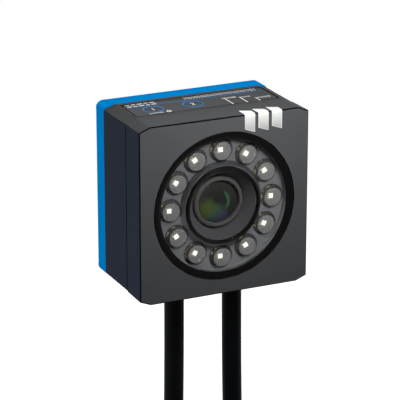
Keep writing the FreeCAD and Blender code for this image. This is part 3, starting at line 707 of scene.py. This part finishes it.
# ---------------------------------------------------------------- mesh kit
def to_mesh(name, bm, crease=30.0):
    mesh = bpy.data.meshes.new(name)
    bm.to_mesh(mesh)
    bm.free()
    mesh.shade_smooth()
    mesh.set_sharp_from_angle(angle=math.radians(crease))
    return mesh


def add_object(name, data):
    """An object at the origin, linked to the scene."""
    added = bpy.data.objects.new(name, data)
    bpy.context.scene.collection.objects.link(added)
    return added


def add_piece(name, bm, slot_name, body="root", replaced=(), crease=30.0, weighted=False):
    piece = add_object(name, to_mesh(name, bm, crease))
    piece.data.materials.append(finish_for(slot_name))
    if weighted:
        modifier = piece.modifiers.new("Even shading", "WEIGHTED_NORMAL")
        modifier.keep_sharp = True
    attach(piece, body)
    if replaced:
        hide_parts(*replaced)
    return piece


def join_mesh(whole, mesh):
    """Adds a mesh to a bmesh and removes it."""
    whole.from_mesh(mesh)
    bpy.data.meshes.remove(mesh)


def join_part(whole, part):
    """Adds one bmesh to another and frees it."""
    mesh = bpy.data.meshes.new("part")
    part.to_mesh(mesh)
    part.free()
    join_mesh(whole, mesh)


def merged_copy(node):
    """A CAD node's mesh with its loose triangles joined and its flat faces made whole."""
    flat_angle = math.radians(0.4)
    bm = bmesh.new()
    bm.from_mesh(frame["nodes"][node].data)
    bmesh.ops.remove_doubles(bm, verts=bm.verts, dist=1e-6)
    bmesh.ops.dissolve_limit(bm, angle_limit=flat_angle, verts=bm.verts,
                             edges=bm.edges, use_dissolve_boundaries=False)
    return bm


def soften_edges(bm, radius, chosen, least=18.0, segments=2):
    """Rounds the chosen edges that turn by more than a given angle, in degrees."""
    sharp = []
    for edge in bm.edges:
        if len(edge.link_faces) == 2 and edge.calc_face_angle(0.0) > math.radians(least):
            middle = (edge.verts[0].co + edge.verts[1].co) / 2
            if chosen(middle.x / MM, (middle.y - FRONT) / MM, middle.z / MM):
                sharp.append(edge)
    bmesh.ops.bevel(bm, geom=sharp, offset=radius, offset_type="OFFSET", segments=segments,
                    profile=0.5, affect="EDGES", clamp_overlap=False, material=-1)


def everywhere(x, depth, z):
    return True


def softened_node(node, piece_name, radius=0.0, chosen=everywhere):
    """A piece that stands for a CAD node, with its chosen edges rounded."""
    bm = merged_copy(node)
    if radius:
        soften_edges(bm, radius, chosen)
    body = next(name for name, members in frame["record"]["behaviour"]["bodies"].items()
                if node in members)
    return add_piece(piece_name, bm, SLOT_OF[node], body, (node,), SHELL_CREASE, bool(radius))


def spun(profile, centre, axis, steps, rounding=0.0, closed=True):
    """A turned shape from (radius, distance along the axis) points in millimetres."""
    bm = bmesh.new()
    outward = Vector((1, 0, 0))
    verts = [bm.verts.new(Vector(centre) + outward * r * MM + axis * d * MM) for r, d in profile]
    ends = len(verts) if closed else len(verts) - 1
    for k in range(ends):
        bm.edges.new((verts[k], verts[(k + 1) % len(verts)]))
    if rounding:
        corners = verts if closed else verts[1:-1]
        bmesh.ops.bevel(bm, geom=corners, offset=rounding, offset_type="OFFSET", segments=3,
                        profile=0.5, affect="VERTICES", clamp_overlap=True, material=-1)
    bmesh.ops.spin(bm, geom=bm.verts[:] + bm.edges[:], cent=centre, axis=axis, dvec=(0, 0, 0),
                   angle=math.tau, steps=steps, use_merge=True, use_duplicate=False)
    bmesh.ops.remove_doubles(bm, verts=bm.verts, dist=1e-7)
    bmesh.ops.recalc_face_normals(bm, faces=bm.faces)
    return bm


def repeat_round(bm, count=12):
    """Copies a shape at twelve o'clock to every place on the light's circle."""
    bmesh.ops.spin(bm, geom=bm.verts[:] + bm.edges[:] + bm.faces[:], cent=(0, FRONT, 0),
                   axis=LENS_AXIS, dvec=(0, 0, 0), angle=math.tau, steps=count,
                   use_duplicate=True)
    bmesh.ops.remove_doubles(bm, verts=bm.verts, dist=1e-7)
    bmesh.ops.recalc_face_normals(bm, faces=bm.faces)


def optic(name, profile, slot_name, replaced, rounding=0.0, closed=True):
    """A turned piece on the lens axis, its profile given as (radius, depth)."""
    steps = settings().optics.steps
    bm = spun(profile, (0, FRONT, 0), LENS_AXIS, steps, rounding, closed)
    return add_piece(name, bm, slot_name, replaced=replaced)


def box_into(bm, low, high):
    """A block between two corners, added to a bmesh; its new vertices are returned."""
    low, high = Vector(low), Vector(high)
    place = Matrix.Translation((low + high) / 2) @ Matrix.Diagonal((*(high - low), 1.0))
    return bmesh.ops.create_cube(bm, size=1.0, matrix=place)["verts"]


# ---------------------------------------------------------------- pieces
class VISION_OT_housing(bpy.types.Operator):
    """Models the front cover, the main housing and the blue rear cover"""
    bl_idname = "vision.housing"
    bl_label = "Housing"

    def execute(self, context):
        sizes = settings().housing
        softened_node("front_cover", "front_cover_shell", sizes.edge, self.on_cover)
        softened_node("main_housing", "main_housing_shell", sizes.seam_edge, self.on_housing)
        self.rear_cover(sizes)
        return {"FINISHED"}

    def rear_cover(self, sizes):
        """The rear cover: its upright corners rounded first, then its edges."""
        bm = merged_copy("rear_cover")
        soften_edges(bm, sizes.rear_corner, self.on_rear_corner, segments=4)
        soften_edges(bm, sizes.rear_edge, self.on_rear, 28.0)
        add_piece("rear_cover_shell", bm, "rear_blue", "root", ("rear_cover",), SHELL_CREASE,
                  weighted=True)

    @staticmethod
    def on_rear_corner(x, depth, z):
        """The edges that run along the depth at the cover's cut corners."""
        wall_front, wall_rear, corner_reach = 28.0, 32.0, 21.0
        return wall_front < depth < wall_rear and max(abs(x), abs(z)) > corner_reach

    @staticmethod
    def on_cover(x, depth, z):
        """The outer edges and the opening's rim, clear of the light windows' slots."""
        opening, near, outline = 22.88, 0.1, 26.3
        if abs(math.hypot(x, z) - opening) < near:
            return depth < near
        beside_windows = 5.8 < x < 19.2 and z > 21.0 and depth < 5.0
        return max(abs(x), abs(z)) > outline and not beside_windows

    @staticmethod
    def on_housing(x, depth, z):
        """The outer edges and the label recess, clear of the recess's corner reliefs."""
        recess_floor, relief, outline = 26.0, 1.0, 27.0
        for corner_x, corner_depth in ((23.25, 12.25), (-22.45, 24.35)):
            if z > recess_floor and math.hypot(x - corner_x, depth - corner_depth) < relief:
                return False
        return max(abs(x), abs(z)) > outline and z > -outline

    @staticmethod
    def on_rear(x, depth, z):
        """Every outer edge, clear of the screw and insert holes."""
        near_screw = math.hypot(abs(x) - SCREW_PLACE, abs(z) - SCREW_PLACE) < 3.0
        near_insert = math.hypot(abs(x) - INSERT_PLACE, abs(z) - INSERT_PLACE) < 3.2
        wall_middle, seam, inner_reach = 30.0, 26.9, 18.5
        on_rim = abs(depth - wall_middle) > 2.5 and max(abs(x), abs(z)) > inner_reach
        return on_rim and depth > seam and not near_screw and not near_insert


class VISION_OT_rear_hardware(bpy.types.Operator):
    """Models the threaded mounting inserts and the housing's screws"""
    bl_idname = "vision.rear_hardware"
    bl_label = "Inserts and screws"

    def execute(self, context):
        low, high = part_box("mount_inserts")
        pitch = settings().housing.thread_pitch / MM
        outer, minor, major = 2.8, 1.65, 1.95
        place = high.x - outer * MM
        end = (high.y - low.y) / MM
        chamfer = 0.2
        profile = [(outer, 0.0), (outer, end - chamfer), (outer - chamfer, end),
                   (major + 0.1, end)]
        along = end - pitch / 2
        while along > pitch:
            profile += [(minor, along), (major, along - pitch / 2)]
            along -= pitch
        profile += [(minor, along), (minor, 0.0)]
        whole = bmesh.new()
        for x, z in ((-place, -place), (place, -place), (place, place), (-place, place)):
            join_part(whole, spun(profile, (x, low.y, z), LENS_AXIS, 48))
        add_piece("mount_insert_set", whole, "brass", replaced=("mount_inserts",))
        softened_node("housing_screws", "housing_screw_set", 0.1 * MM,
                      lambda x, depth, z: depth > 29.0)
        return {"FINISHED"}


class VISION_OT_bezel(bpy.types.Operator):
    """Models the polished bezel round the ring light"""
    bl_idname = "vision.bezel"
    bl_label = "Bezel"

    def execute(self, context):
        sizes = settings().optics
        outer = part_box("bezel_ring")[1].x / MM
        step, seat, lip = sizes.bezel_step / MM, 21.45, 20.6
        optic("bezel", [
            (outer, 0.22), (outer, 3.0), (seat, 3.0), (seat, 0.75), (lip, 0.75), (lip, 0.56),
            (step, 0.2), (outer - 0.4, 0.1),
        ], "bezel_black", ("bezel_ring",), sizes.bezel_edge)
        return {"FINISHED"}


class VISION_OT_ring_light(bpy.types.Operator):
    """Models the ring light: its pane, reflector, lens ring and light sources"""
    bl_idname = "vision.ring_light"
    bl_label = "Ring light"

    def execute(self, context):
        sizes = settings().optics
        softened_node("reflector_plate", "reflector", sizes.hole_edge, self.on_hole)
        self.lenses()
        self.cups()
        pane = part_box("ring_light_cover")
        front, rear = (pane[0].y - FRONT) / MM, (pane[1].y - FRONT) / MM
        outer, inner = pane[1].x / MM, SHIELD_RADIUS + 0.03
        optic("ring_light_pane", [(outer, front), (outer, rear), (inner, rear), (inner, front)],
              "clear_pane", ("ring_light_cover",), sizes.pane_edge)
        return {"FINISHED"}

    @staticmethod
    def on_hole(x, depth, z):
        """The holes' front rims, away from the reflector's inner and outer walls."""
        inner, outer = COLLAR_FOOT + 0.4, 20.0
        return inner < math.hypot(x, z) < outer and abs(depth - PLATE_FRONT) < 0.02

    @staticmethod
    def lenses():
        """Twelve clear cones with flat tips, each over the pocket of its light source."""
        tip, foot, pocket, pocket_front = 2.7, 3.65, 2.15, 3.0
        bm = spun([
            (0.0, LENS_TIP), (tip, LENS_TIP), (foot, PLATE_FRONT), (foot, LENS_REAR),
            (pocket, LENS_REAR), (pocket, pocket_front), (0.0, pocket_front),
        ], (0, FRONT, LED_CIRCLE * MM), LENS_AXIS, 56, 0.06 * MM, closed=False)
        repeat_round(bm)
        add_piece("led_lenses", bm, "clear_lens", replaced=("led_lens_ring",))

    @staticmethod
    def cups():
        """The light sources' packages: square cups whose floor is the converter."""
        half, wall, post, post_ends = 1.4, 0.25, 0.3, (3.15, 4.1)
        bm = bmesh.new()
        box_into(bm, (-half * MM, at(CUP_FRONT), (LED_CIRCLE - half) * MM),
                 (half * MM, at(LENS_REAR), (LED_CIRCLE + half) * MM))
        mouth = min(bm.faces, key=lambda face: face.calc_center_median().y)
        bmesh.ops.inset_region(bm, faces=[mouth], thickness=wall * MM, use_even_offset=True)
        grown = bmesh.ops.extrude_face_region(bm, geom=[mouth])["geom"]
        floor = [item for item in grown if isinstance(item, bmesh.types.BMVert)]
        bmesh.ops.translate(bm, verts=floor, vec=(0, (CUP_FLOOR - CUP_FRONT) * MM, 0))
        bmesh.ops.delete(bm, geom=[mouth], context="FACES")
        box_into(bm, (-post * MM, at(post_ends[0]), (LED_CIRCLE - post) * MM),
                 (post * MM, at(post_ends[1]), (LED_CIRCLE + post) * MM))
        repeat_round(bm)
        add_piece("led_cups", bm, "led_package", replaced=("led_packages",))


class VISION_OT_lens(bpy.types.Operator):
    """Models the light shield, the baffle, the lens pane, the barrel and its front glass"""
    bl_idname = "vision.lens"
    bl_label = "Lens"

    def execute(self, context):
        sizes = settings().optics
        inner, outer, flange, step, seat = SHIELD_RADIUS - 0.75, SHIELD_RADIUS, 13.4, 10.4, 6.0
        optic("shield_ring", [
            (inner, 0.4), (outer, 0.4), (outer, 7.2), (flange, 7.2), (flange, 8.0), (step, 8.0),
            (step, seat), (inner, seat),
        ], "shield_black", ("light_shield",), sizes.shield_edge)
        fit, throat, front = inner - 0.05, 8.35, 1.67
        optic("baffle_cone", [
            (fit, front), (fit, seat), (throat, seat), (throat, 4.9), (10.75, front),
        ], "baffle_grey", ("lens_baffle",), 0.05 * MM)
        pane_front, pane_rear = 0.85, 1.65
        optic("lens_pane", [
            (0.0, pane_front), (fit, pane_front), (fit, pane_rear), (0.0, pane_rear),
        ], "clear_pane", ("lens_window",), sizes.pane_edge, closed=False)
        optic("barrel", [
            (6.75, 4.1), (7.0, 3.98), (7.5, 4.08), (7.9, 4.3), (8.1, 4.75), (8.1, 8.5),
            (6.0, 8.5), (6.0, 17.0), (4.0, 17.0), (4.0, 12.0), (5.15, 12.0), (5.15, 8.0),
            (5.6, 8.0), (5.6, 7.0), (6.75, 7.0),
        ], "barrel_black", ("lens_barrel",), sizes.barrel_edge)
        self.front_glass()
        return {"FINISHED"}

    @staticmethod
    def front_glass():
        """The bulged front element, its face an arc from the vertex to the edge."""
        radius, edge, vertex, parts = GLASS_RADIUS, 5.4, 4.3, 14
        rise = edge - vertex
        sphere = (radius * radius + rise * rise) / (2 * rise)
        step = math.asin(radius / sphere) / parts
        arc = [(sphere * math.sin(step * k), vertex + sphere * (1 - math.cos(step * k)))
               for k in range(parts + 1)]
        profile = arc + [(radius, 7.0), (4.6, 7.0), (3.2, 6.5), (1.6, 6.1), (0.0, 6.0)]
        optic("front_glass", profile, "lens_glass", ("lens_front_element",), closed=False)


class VISION_OT_light_windows(bpy.types.Operator):
    """Models the three light windows bent over the cover's top edge"""
    bl_idname = "vision.light_windows"
    bl_label = "Light windows"

    def execute(self, context):
        for name in ("left", "middle", "right"):
            self.window(name)
        return {"FINISHED"}

    @staticmethod
    def window(name):
        """A strip bent over the cover's edge, given its wall, with a tongue behind it."""
        sizes = settings().windows
        node = "light_pipe_" + name
        low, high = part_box(node)
        left, right, top = low.x, high.x, high.z
        lower, deeper = sizes.low_left - sizes.low_right, sizes.back_left - sizes.back_right
        bm = bmesh.new()
        path = [Vector((left, FRONT, sizes.low_left)), Vector((left, FRONT, top)),
                Vector((left, FRONT + sizes.back_left, top))]
        verts = [bm.verts.new(point) for point in path]
        strip = [bm.edges.new(verts[k:k + 2]) for k in range(2)]
        grown = bmesh.ops.extrude_edge_only(bm, edges=strip)["geom"]
        moved = [item for item in grown if isinstance(item, bmesh.types.BMVert)]
        bmesh.ops.translate(bm, verts=moved, vec=(right - left, 0, 0))
        for vert in moved:
            vert.co.z -= lower if vert.co.z < top - MM else 0.0
            vert.co.y -= deeper if vert.co.y > FRONT + MM else 0.0
        bmesh.ops.recalc_face_normals(bm, faces=bm.faces)
        if sum(face.normal.y - face.normal.z for face in bm.faces) > 0:
            bmesh.ops.reverse_faces(bm, faces=bm.faces)
        bmesh.ops.solidify(bm, geom=bm.faces[:], thickness=sizes.thickness)
        bmesh.ops.recalc_face_normals(bm, faces=bm.faces)
        bend = [edge for edge in bm.edges if all(
            abs(v.co.y - FRONT) < 1e-6 and abs(v.co.z - top) < 1e-6 for v in edge.verts)]
        bmesh.ops.bevel(bm, geom=bend, offset=sizes.bend, offset_type="OFFSET", segments=8,
                        profile=0.5, affect="EDGES", material=-1)
        near = bm.loops.layers.uv.new("window_near")
        far = bm.loops.layers.uv.new("window_far")
        for face in bm.faces:
            for loop in face.loops:
                co = loop.vert.co
                across = (co.x - left) / (right - left)
                up = co.z - (sizes.low_left - lower * across)
                back = FRONT + sizes.back_left - deeper * across - co.y
                loop[near].uv = ((co.x - left) / sizes.rim, (up + co.y - FRONT) / sizes.rim)
                loop[far].uv = ((right - co.x) / sizes.rim, (back + top - co.z) / sizes.rim)
        soften_edges(bm, 0.1 * MM, everywhere, 40.0)
        middle = (left + right) / 2
        half, front, bottom, roof = mm(1.2, 1.5, 22.95, 24.15)
        box_into(bm, (middle - half, FRONT + front, bottom), (middle + half, high.y, roof))
        add_piece("light_window_" + name, bm, "light_white", replaced=(node,), crease=40.0)


# Rows of signs: left, right, near and far edge (depth), width of a sign, width of its bars.
MARK_ROWS = (
    (-21.6, -11.9, 21.8, 24.1, 1.9, 0.55),
    (-2.8, 22.2, 22.6, 24.1, 0.95, 0.26),
    (7.7, 12.9, 18.1, 18.9, 0.55, 0.16),
    (13.0, 16.6, 17.1, 17.9, 0.55, 0.16),
    (17.2, 22.6, 14.7, 15.5, 0.55, 0.16),
    (-18.2, -13.3, 13.0, 13.6, 0.42, 0.14),
)


class VISION_OT_keypad(bpy.types.Operator):
    """Models the label film, its two buttons and its printed marks"""
    bl_idname = "vision.keypad"
    bl_label = "Keypad"

    def execute(self, context):
        softened_node("label", "label_sheet", settings().housing.label_edge,
                      lambda x, depth, z: z * MM > LABEL_TOP - 0.1 * MM)
        for side in SIDES:
            self.button(side)
        self.marks()
        return {"FINISHED"}

    @staticmethod
    def button(side):
        """A round cap with a shallow dish on its top and a flange under the film."""
        node = "button_" + side
        low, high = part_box(node)
        centre = (low + high) / 2
        top = (high.z - low.z) / MM
        flange, cap, flange_top = 3.1, 2.5, 0.7
        profile = [(0.0, 0.0), (flange, 0.0), (flange, flange_top), (cap, flange_top),
                   (cap, top - 0.16), (2.32, top), (1.9, top), (1.2, top - 0.05),
                   (0.0, top - 0.07)]
        bm = spun(profile, (centre.x, centre.y, low.z), UP, 64, 0.05 * MM, closed=False)
        add_piece(node + "_cap", bm, "button_film", node, (node,))

    @staticmethod
    def signs(bm, draw, left, right, near, far, wide, pen):
        """A row of plain signs, each of two level bars, of varying width."""
        low, high = LABEL_TOP - 0.01 * MM, PRINT_TOP
        x = left
        while x + wide <= right:
            end = x + wide * draw.uniform(0.6, 1.0)
            for level in (near, far - pen):
                box_into(bm, (x * MM, at(level), low), (end * MM, at(level + pen), high))
            x = end + wide * 0.3

    @staticmethod
    def marks():
        """White marks: rows of plain signs, a small ring, and a figure on each button."""
        seed = 7
        bm = bmesh.new()
        draw = random.Random(seed)
        for row in MARK_ROWS:
            VISION_OT_keypad.signs(bm, draw, *row)
        inner, outer, thick = 0.42, 0.8, 0.05
        place = (-11.9 * MM, at(13.6), PRINT_TOP - thick * MM)
        join_part(bm, spun([(inner, 0.0), (outer, 0.0), (outer, thick), (inner, thick)],
                           place, UP, 32))
        add_piece("label_marks", bm, "print_white")
        for number, side in enumerate(SIDES, 1):
            VISION_OT_keypad.figure(str(number), side)

    @staticmethod
    def figure(text, side):
        """A plain figure on a button's top."""
        words = bpy.data.curves.new("figure", "FONT")
        words.body = text
        words.size, words.extrude = mm(3.0, 0.012)
        words.align_x = "CENTER"
        words.align_y = "CENTER"
        words.resolution_u = 6
        holder = add_object("figure", words)
        bpy.context.view_layer.update()
        shaped = holder.evaluated_get(bpy.context.evaluated_depsgraph_get())
        mesh = bpy.data.meshes.new_from_object(shaped)
        bpy.data.objects.remove(holder)
        low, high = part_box("button_" + side)
        middle, sunk = (low + high) / 2, 0.045 * MM
        mesh.transform(Matrix.Translation((middle.x, middle.y, high.z - sunk)))
        bm = bmesh.new()
        join_mesh(bm, mesh)
        bmesh.ops.remove_doubles(bm, verts=bm.verts, dist=1e-7)
        add_piece("button_figure_" + side, bm, "print_white", "button_" + side)


CABLE_ROUTES = {
    "left": (mm(-9.7, -17.9, -30.05), mm(-9.7, -17.9, -69.0),
             mm(-11.1, -17.1, -112.0), mm(-11.1, -17.1, -150.0)),
    "right": (mm(9.7, -17.9, -30.05), mm(9.7, -17.9, -65.0),
              mm(11.6, -17.6, -108.0), mm(11.6, -17.6, -150.0)),
}


class VISION_OT_cables(bpy.types.Operator):
    """Models the two cables, their glands and their plugs"""
    bl_idname = "vision.cables"
    bl_label = "Cables and plugs"

    def execute(self, context):
        for side in SIDES:
            self.gland(side)
            parts = self.plug(side)
            self.cable(side, parts)
        return {"FINISHED"}

    @staticmethod
    def cable(side, parts):
        sizes = settings().cables
        line = bpy.data.curves.new("cable_" + side + "_cord", "CURVE")
        line.dimensions = "3D"
        route = CABLE_ROUTES[side]
        spline = line.splines.new("NURBS")
        spline.points.add(len(route) - 1)
        for point, place in zip(spline.points, route):
            point.co = (*place, 1.0)
        spline.order_u = 3
        spline.use_endpoint_u = True
        spline.resolution_u = 24
        line.bevel_depth = sizes.diameter / 2
        line.bevel_resolution = 10
        line.use_fill_caps = True
        cable = add_object("cable_" + side + "_cord", line)
        line.materials.append(finish_for("cable_jacket"))
        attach(cable, "root")
        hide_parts("cable_" + side)

    @staticmethod
    def gland(side):
        """A soft strain relief with two rings, on a block inside the housing's wall."""
        node = "cable_gland_" + side
        low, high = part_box(node)
        centre = (low + high) / 2
        exit_z = CABLE_ROUTES[side][0][2]
        base = (high.z - low.z) / MM
        wall = (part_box("main_housing")[0].z - exit_z) / MM
        shank, flange, flange_foot = 4.6, 5.6, base - 1.5
        profile = [(0.0, 0.0), (3.15, 0.0), (3.45, 0.12), (3.6, 0.75), (3.4, 0.85), (3.4, 1.2),
                   (3.85, 1.3), (4.0, 1.95), (3.8, 2.05), (3.8, 2.4), (4.3, 2.5), (shank, wall),
                   (shank, flange_foot), (flange, flange_foot), (flange, base), (0.0, base)]
        bm = spun(profile, (centre.x, centre.y, exit_z), UP, 64, 0.08 * MM, closed=False)
        add_piece("gland_" + side, bm, "gland_black", replaced=(node,))

    @staticmethod
    def plug(side):
        sizes = settings().cables
        body = softened_node("plug_body_" + side, "plug_" + side, sizes.plug_edge,
                             lambda x, depth, z: z > -176.0)
        insert = softened_node("plug_insert_" + side, "plug_carrier_" + side)
        pins = softened_node("plug_pins_" + side, "plug_contacts_" + side)
        nut = VISION_OT_cables.coupling(side)
        return [body, insert, pins, nut]

    @staticmethod
    def coupling(side):
        """The ribbed screw sleeve with its thread, measured down from the cable's end."""
        x, y, top = CABLE_ROUTES[side][-1]
        pitch, crest, root = 1.0, 6.0, 5.45
        bore, grip, thread_start, thread_end = 4.88, 7.2, 36.0, 43.0
        grip_start, grip_end = 28.0, 34.2
        profile = [(bore, 27.0), (6.55, 27.0), (grip, 27.6), (grip, grip_start),
                   (grip, grip_end), (grip, 34.6), (6.8, 35.1), (5.4, 35.1), (5.4, thread_start)]
        along = thread_start
        while along < thread_end - 0.6:
            profile += [(crest, along + pitch * 0.4), (crest, along + pitch * 0.55),
                        (root, along + pitch)]
            along += pitch
        profile += [(5.2, thread_end), (bore, thread_end), (bore, 29.8), (5.8, 29.8),
                    (5.8, 28.2), (bore, 28.2)]
        bm = spun([(radius, -drop) for radius, drop in profile], (x, y, top), UP, 192)
        grooves, groove_depth = 12, 0.36
        for vert in bm.verts:
            spot = Vector((vert.co.x - x, vert.co.y - y))
            height = (top - vert.co.z) / MM
            if spot.length > 7.0 * MM and grip_start - 0.1 < height < grip_end + 0.1:
                wave = max(0.0, math.cos(grooves * math.atan2(spot.y, spot.x)))
                scale = 1 - wave ** 1.6 * groove_depth * MM / spot.length
                vert.co.x, vert.co.y = x + spot.x * scale, y + spot.y * scale
        node = "coupling_" + side
        return add_piece("coupling_nut_" + side, bm, "coupling_nickel", node, (node,), 28.0)


class VISION_OT_inner_parts(bpy.types.Operator):
    """Gives every remaining part of the frame its finish"""
    bl_idname = "vision.inner_parts"
    bl_label = "Inner parts"

    def execute(self, context):
        for name, node in frame["nodes"].items():
            for material_slot in node.material_slots:
                material_slot.material = finish_for(SLOT_OF[name])
        return {"FINISHED"}


# ---------------------------------------------------------------- stage
class VISION_OT_stage(bpy.types.Operator):
    """Sets up the floor, the surroundings, the lamps and the camera"""
    bl_idname = "vision.stage"
    bl_label = "Stage"

    # Name, place, size and power in watts.
    lamps = (
        ("front_lamp", (0.01, -0.11, 0.08), (0.05, 0.035), 0.15),
        ("top_lamp", (0.0, 0.08, 0.45), (0.30, 0.30), 0.12),
        ("left_lamp", (-0.45, 0.06, 0.03), (0.30, 0.30), 1.8),
        ("right_lamp", (0.45, 0.06, 0.04), (0.30, 0.30), 1.5),
        ("back_lamp", (0.05, 0.50, 0.08), (0.30, 0.30), 1.5),
    )

    def execute(self, context):
        self.floor()
        self.surroundings(context.scene)
        for name, place, size, power in self.lamps:
            self.lamp(name, place, size, power)
        self.camera(context.scene)
        return {"FINISHED"}

    def floor(self):
        bm = bmesh.new()
        gap = 1.5 * MM
        level = CAD_BOX[0][2] - gap
        bmesh.ops.create_grid(bm, x_segments=2, y_segments=2, size=4.0,
                              matrix=Matrix.Translation((0, 0, level)))
        floor = add_object("floor", to_mesh("floor", bm))
        finish = Finish("floor_paint", Base_Color=(0.3, 0.3, 0.3), Roughness=0.9,
                        Specular_IOR_Level=0.0)
        glow = finish.node("ShaderNodeEmission", {}, {"Color": (1, 1, 1), "Strength": 0.98})
        both = finish.node("ShaderNodeAddShader", {},
                           {0: finish.shader.outputs[0], 1: glow.outputs[0]})
        mixed = finish.node("ShaderNodeMixShader", {},
                            {0: finish.seen_directly(), 1: finish.shader.outputs[0],
                             2: both.outputs[0]})
        finish.feed(finish.surface.inputs["Surface"], mixed.outputs[0])
        floor.data.materials.append(finish.material)

    def surroundings(self, scene):
        world = bpy.data.worlds.new("surroundings")
        scene.world = world
        world.use_nodes = True
        sky = Graph(world.node_tree)
        light = sky.node("ShaderNodeBackground", {}, {"Color": (0.93, 0.96, 1.0),
                                                      "Strength": settings().stage.fill})
        seen = sky.node("ShaderNodeBackground", {}, {"Color": (1, 1, 1), "Strength": 1.0})
        both = sky.node("ShaderNodeMixShader", {}, {0: sky.seen_directly(), 1: light.outputs[0],
                                                    2: seen.outputs[0]})
        sky.node("ShaderNodeOutputWorld", {}, {"Surface": both.outputs[0]})

    @staticmethod
    def lamp(name, place, size, power):
        light = bpy.data.lights.new(name, "AREA")
        light.shape = "RECTANGLE"
        light.size, light.size_y = size
        light.energy = power
        lamp = add_object(name, light)
        aim = Vector((0, FRONT / 2, 0)) - Vector(place)
        turn = aim.to_track_quat("-Z", "Y").to_matrix().to_4x4()
        lamp.matrix_world = Matrix.Translation(place) @ turn
        lamp.visible_camera = False

    @staticmethod
    def camera(scene):
        view = settings().stage
        az, el = view.azimuth, view.elevation
        back = Vector((math.sin(az) * math.cos(el), -math.cos(az) * math.cos(el), math.sin(el)))
        right = Vector((math.cos(az), math.sin(az), 0.0))
        up = back.cross(right)
        place = back * view.distance + right * view.offset_right + up * view.offset_up
        place.y += FRONT
        turn = Matrix((right, up, back)).transposed().to_4x4()
        data = bpy.data.cameras.new("camera")
        data.sensor_width = 36.0
        data.lens = view.focal_length
        data.clip_start = 0.01
        camera = add_object("camera", data)
        camera.matrix_world = Matrix.Translation(place) @ turn
        scene.camera = camera
        scene.view_settings.view_transform = "Standard"


OPERATORS = (
    VISION_OT_stage, VISION_OT_cables, VISION_OT_housing, VISION_OT_rear_hardware,
    VISION_OT_bezel, VISION_OT_ring_light, VISION_OT_lens, VISION_OT_light_windows,
    VISION_OT_keypad, VISION_OT_inner_parts,
)


class VISION_PT_pieces(bpy.types.Panel):
    """Lists the camera's pieces and its stage"""
    bl_idname = "VISION_PT_pieces"
    bl_label = "Machine vision camera"
    bl_space_type = "VIEW_3D"
    bl_region_type = "UI"
    bl_category = "Vision camera"

    def draw(self, context):
        for operator in OPERATORS:
            self.layout.operator(operator.bl_idname)


GROUPS = (
    HousingSizes, OpticsSizes, WindowSizes, CableSizes, StageSettings, FinishColours,
    VisionCameraSettings,
)


def register():
    for cls in GROUPS + OPERATORS + (VISION_PT_pieces,):
        bpy.utils.register_class(cls)
    bpy.types.Scene.vision_camera = PointerProperty(type=VisionCameraSettings)


def unregister():
    del bpy.types.Scene.vision_camera
    for cls in reversed(GROUPS + OPERATORS + (VISION_PT_pieces,)):
        bpy.utils.unregister_class(cls)


def main():
    register()
    for operator in OPERATORS:
        group, action = operator.bl_idname.split(".")
        getattr(getattr(bpy.ops, group), action)()


if __name__ == "__main__":
    main()
